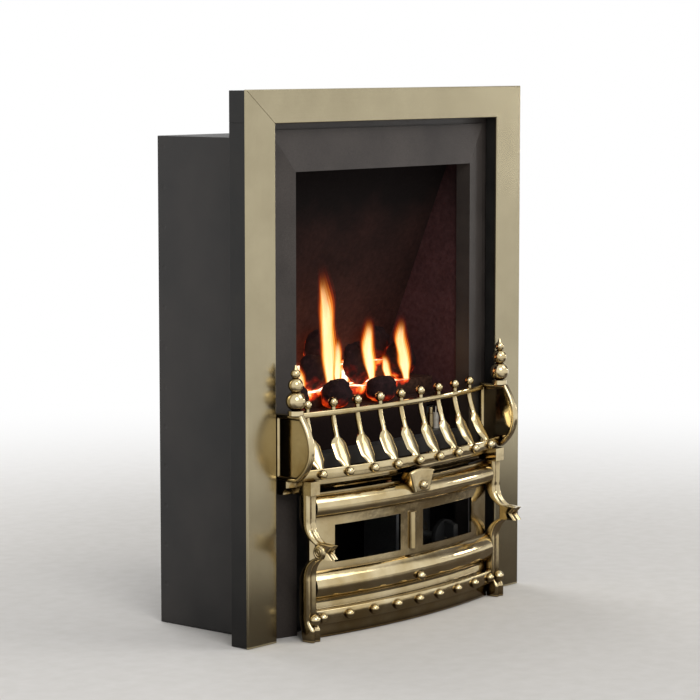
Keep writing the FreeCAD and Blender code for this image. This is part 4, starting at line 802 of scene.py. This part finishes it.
LEG_STEPS = 150
heights = [LEG_TOP * i / LEG_STEPS for i in range(LEG_STEPS + 1)]
heights = sorted(set(heights + [KNEE_HIGH, KNEE_LOW, KNEE_MID, TOE_Z, TOE_Z / 2]))
HALF_SECTION = (
    # share of the leg's width, and how far its front and its back are eased there, in millimetres
    (0.0, 3.2, 2.0), (0.03, 1.6, 1.0), (0.09, 0.5, 0.2), (0.16, 0.0, 0.0), (0.24, 0.0, 0.0),
    (0.30, 0.7, 0.0), (0.38, 1.5, 0.0), (0.50, 1.8, 0.0),
)
section = list(HALF_SECTION)
section += [(1 - u, front, rear) for u, front, rear in reversed(HALF_SECTION[:-1])]
BOSS_LOOPS = ((8.0, -2.0), (8.0, 1.6), (7.4, 2.3), (6.4, 2.5), (0.4, 2.2))  # radius, height above the side
BOSS_TURNS = 32
RIDGE_R, RIDGE_PROUD, RIDGE_IN = 6.6, 2.3, 0.9  # the last is the share of its radius that it winds in
RIDGE_HALF, RIDGE_TALL, RIDGE_THIN = 1.0, 0.9, (0.4, 0.3)  # and how much thinner it gets at its eye
RIDGE_START, RIDGE_TURN = 200, 720  # degrees: the spiral runs two turns
RIDGE_STEPS, RIDGE_SIDES = 72, 8
BALL_TURNS, BALL_RINGS = 28, 16
points, faces = [], []
for sign in (-1, 1):
    start = len(points)
    for z in heights:
        front, rear = leg_front(z), leg_back(z)
        for u, ease, _ in section:
            points.append(Vector((sign * (LEG_IN + (LEG_OUT - LEG_IN) * u), front + ease, z)) * MM)
        for u, _, ease in reversed(section):
            points.append(Vector((sign * (LEG_IN + (LEG_OUT - LEG_IN) * u), rear - ease, z)) * MM)
    faces += skin(start, len(heights), 2 * len(section), sign < 0)

    # the boss on the outer side of the knee
    eye = Vector((0, (KNEE_TIP + KNEE_REAR + KNEE_NOTCH) / 2, KNEE_MID))
    start = len(points)
    for radius, proud in BOSS_LOOPS:
        for i in range(BOSS_TURNS):
            turn = math.tau * i / BOSS_TURNS
            points.append(Vector((sign * (LEG_OUT + proud), eye.y + radius * math.cos(turn),
                                  eye.z + radius * math.sin(turn))) * MM)
    faces += skin(start, len(BOSS_LOOPS), BOSS_TURNS, sign < 0)

    # the spiral ridge on the boss, which thins towards its eye
    start = len(points)
    for i in range(RIDGE_STEPS + 1):
        t = i / RIDGE_STEPS
        turn = math.radians(RIDGE_START + RIDGE_TURN * t)
        radius = RIDGE_R * (1 - RIDGE_IN * t)
        for k in range(RIDGE_SIDES):
            roll = math.tau * k / RIDGE_SIDES
            out = radius + (RIDGE_HALF - RIDGE_THIN[0] * t) * math.cos(roll)
            proud = RIDGE_PROUD + (RIDGE_TALL - RIDGE_THIN[1] * t) * math.sin(roll)
            points.append(Vector((sign * (LEG_OUT + proud), eye.y + out * math.cos(turn),
                                  eye.z + out * math.sin(turn))) * MM)
    faces += skin(start, RIDGE_STEPS + 1, RIDGE_SIDES, sign > 0)

    # the ball on the toe
    seat = Vector((sign * (LEG_IN + LEG_OUT) / 2, (LEG_FRONT + TOE_TIP) / 2, TOE_Z))
    start = len(points)
    for j in range(1, BALL_RINGS):
        tilt = math.pi * (j / BALL_RINGS - 0.5)
        for i in range(BALL_TURNS):
            turn = math.tau * i / BALL_TURNS
            out = math.cos(tilt)
            way = Vector((out * math.cos(turn), out * math.sin(turn), math.sin(tilt)))
            points.append((seat + way * TOE_BALL) * MM)
    faces += skin(start, BALL_RINGS - 1, BALL_TURNS)
legs = piece("fret_pillar_castings", points, faces, brass, "fret", crease=50)
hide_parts("fret_pillars")

# Ashpan cover: pressed rolls, stiles and a mullion round two windows, with a beaded base rail, a pull
# and a boss, all of brass polished like the fret. It stands loose between the pillars.
dress(brass, *[name for name in nodes if name.startswith("cover_")])
soften(1.0, "cover_base_rail")

# Gas fittings: inlet connector, injector and pilot burner, turned from brass bar, at the valve's inlet and
# at the ends of its two pipes. They have the fret's brass, as they are as bright and hardly show.
dress(brass, "inlet_connector", "injector", "pilot_burner")

# Studio floor: a plain pale sheet under the object, which keeps its shadow.
# It isn't part of the object, and it runs out to white all round.

# Matt floor paint: warm off-white, with specks hardly to be seen.
FLOOR_SPECK = 20
FLOOR_R, FLOOR_LOW, FLOOR_TURNS = 12, -0.0004, 64  # the first two in metres
WHITE_FROM, WHITE_FULL = 0.5, 1.9  # metres from the object between which the floor turns white
matt, shader = surface("pale_studio_floor", Roughness=0.75, Specular_IOR_Level=0.2)
spot = add(matt, "TexCoord").node.outputs["Object"]
speck = add(matt, "TexNoise", {"Scale": 1 / (FLOOR_SPECK * MM), "Detail": 4}, {"Vector": spot})
add(matt, "ValToRGB", links={"Fac": speck}, into=shader.inputs["Base Color"],
    stops=[(0.3, "#dedbd6"), (0.7, "#e4e1dd")])
away = add(matt, "VectorMath", links={0: spot}, operation="LENGTH").node.outputs["Value"]
fade = add(matt, "MapRange", {"From Min": WHITE_FROM, "From Max": WHITE_FULL}, {"Value": away},
           interpolation_type="SMOOTHSTEP")
white = add(matt, "Emission", {"Strength": 1.0})
output = matt.node_tree.nodes["Material Output"].inputs["Surface"]
add(matt, "MixShader", links={0: fade, 1: shader.outputs[0], 2: white}, into=output)
points = []
for i in range(FLOOR_TURNS):
    turn = math.tau * i / FLOOR_TURNS
    points.append((FLOOR_R * math.cos(turn), FLOOR_R * math.sin(turn), FLOOR_LOW))
floor = build("studio_floor", points, [tuple(range(FLOOR_TURNS))], matt)

# Backdrop and lamps: an even backdrop, which looks white but lights the object at less than half of that,
# three large soft lamps, and a small one for a glint on the rolls of the cover. Places are in metres.
world = bpy.data.worlds.new("studio_backdrop")
bpy.context.scene.world = world
world.use_nodes = True
rays = add(world, "LightPath").node.outputs
seen = add(world, "Math", links={0: rays["Is Camera Ray"], 1: rays["Is Glossy Ray"]}, operation="MAXIMUM")
seen = add(world, "Math", links={0: seen, 1: rays["Is Transmission Ray"]}, operation="MAXIMUM")
sky = world.node_tree.nodes["Background"]
sky.inputs["Color"].default_value = linear("#ffffff")
add(world, "MapRange", {"To Min": 0.45, "To Max": 1.0}, {"Value": seen}, sky.inputs["Strength"])
centre = Vector((0, 0.036, 0.3025))
for name, place, size, power in (
        ("key_lamp", (-1.5, -2.4, 2.0), 1.5, 38),
        ("fill_lamp", (1.3, -2.1, 2.6), 1.6, 22),
        ("back_lamp", (0.6, 2.2, 2.0), 1.6, 22),
        ("glint_lamp", (2.10, -0.94, 0.55), 0.25, 2)):
    lamp = bpy.data.lights.new(name, "AREA")
    lamp.size = size
    lamp.energy = power
    holder = bpy.data.objects.new(name, lamp)
    holder.location = place
    holder.rotation_euler = (centre - Vector(place)).to_track_quat("-Z", "Y").to_euler()
    bpy.context.scene.collection.objects.link(holder)

# Flags: dark cloths that only reflections show, one upright on the right and two lying on the floor.
# They give the polished brass something to reflect besides white. Places and sizes are in metres.

# Dark flag cloth: brown black and dull. It thins out towards its edges, so reflections of it end softly.
FLAG_NAP = 300
FLAG_GRID = 24
FLAG_DENSE, FLAG_FULL = 0.85, 0.4  # how dense the cloth is, and the share of it that is full
cloth, shader = surface("dark_flag_cloth", Roughness=1.0, Specular_IOR_Level=0.0)
spot = add(cloth, "TexCoord").node.outputs["Object"]
nap = add(cloth, "TexNoise", {"Scale": 1 / (FLAG_NAP * MM), "Detail": 2}, {"Vector": spot})
add(cloth, "ValToRGB", links={"Fac": nap}, into=shader.inputs["Base Color"],
    stops=[(0.3, "#2a1d12"), (0.7, "#453221")])
thin = add(cloth, "Attribute", attribute_name="thin").node.outputs["Fac"]
cloth.node_tree.links.new(thin, shader.inputs["Alpha"])
for name, place, wide, tall, target in (
        ("right_flag", (2.56, -0.45, 1.2), 2.6, 2.4, centre),
        ("foot_flag", (0.2, -0.02, 0.002), 2.4, 0.72, None),
        ("front_flag", (0.66, -0.44, 0.003), 1.0, 0.56, None)):
    points, faces, cover = [], [], []
    for j in range(FLAG_GRID + 1):
        for i in range(FLAG_GRID + 1):
            u, v = 2 * i / FLAG_GRID - 1, 2 * j / FLAG_GRID - 1
            points.append((u * wide / 2, v * tall / 2, 0))
            cover.append(FLAG_DENSE * (1 - share(max(abs(u), abs(v)), FLAG_FULL, 1.0)))
    for j in range(FLAG_GRID):
        for i in range(FLAG_GRID):
            a = j * (FLAG_GRID + 1) + i
            faces.append((a, a + 1, a + FLAG_GRID + 2, a + FLAG_GRID + 1))
    card = build(name, points, faces, cloth)
    mark(card, "thin", cover)
    card.location = place
    if target:
        card.rotation_euler = (target - Vector(place)).to_track_quat("Z", "Y").to_euler()
    for ray in ("camera", "diffuse", "shadow", "transmission", "volume_scatter"):
        setattr(card, "visible_" + ray, False)

# Camera: to the left of the fire and a little higher than its top, at the photograph's viewing angle.
# A long lens from three metres away keeps the photograph's slight perspective.
lens = bpy.data.cameras.new("camera")
lens.lens = 138
lens.sensor_width = 36
camera = bpy.data.objects.new("camera", lens)
camera.location = (-2.349, -1.961, 0.642)
camera.rotation_euler = (centre - camera.location).to_track_quat("-Z", "Y").to_euler()
bpy.context.scene.collection.objects.link(camera)
bpy.context.scene.camera = camera
bpy.context.scene.view_settings.view_transform = "Standard"
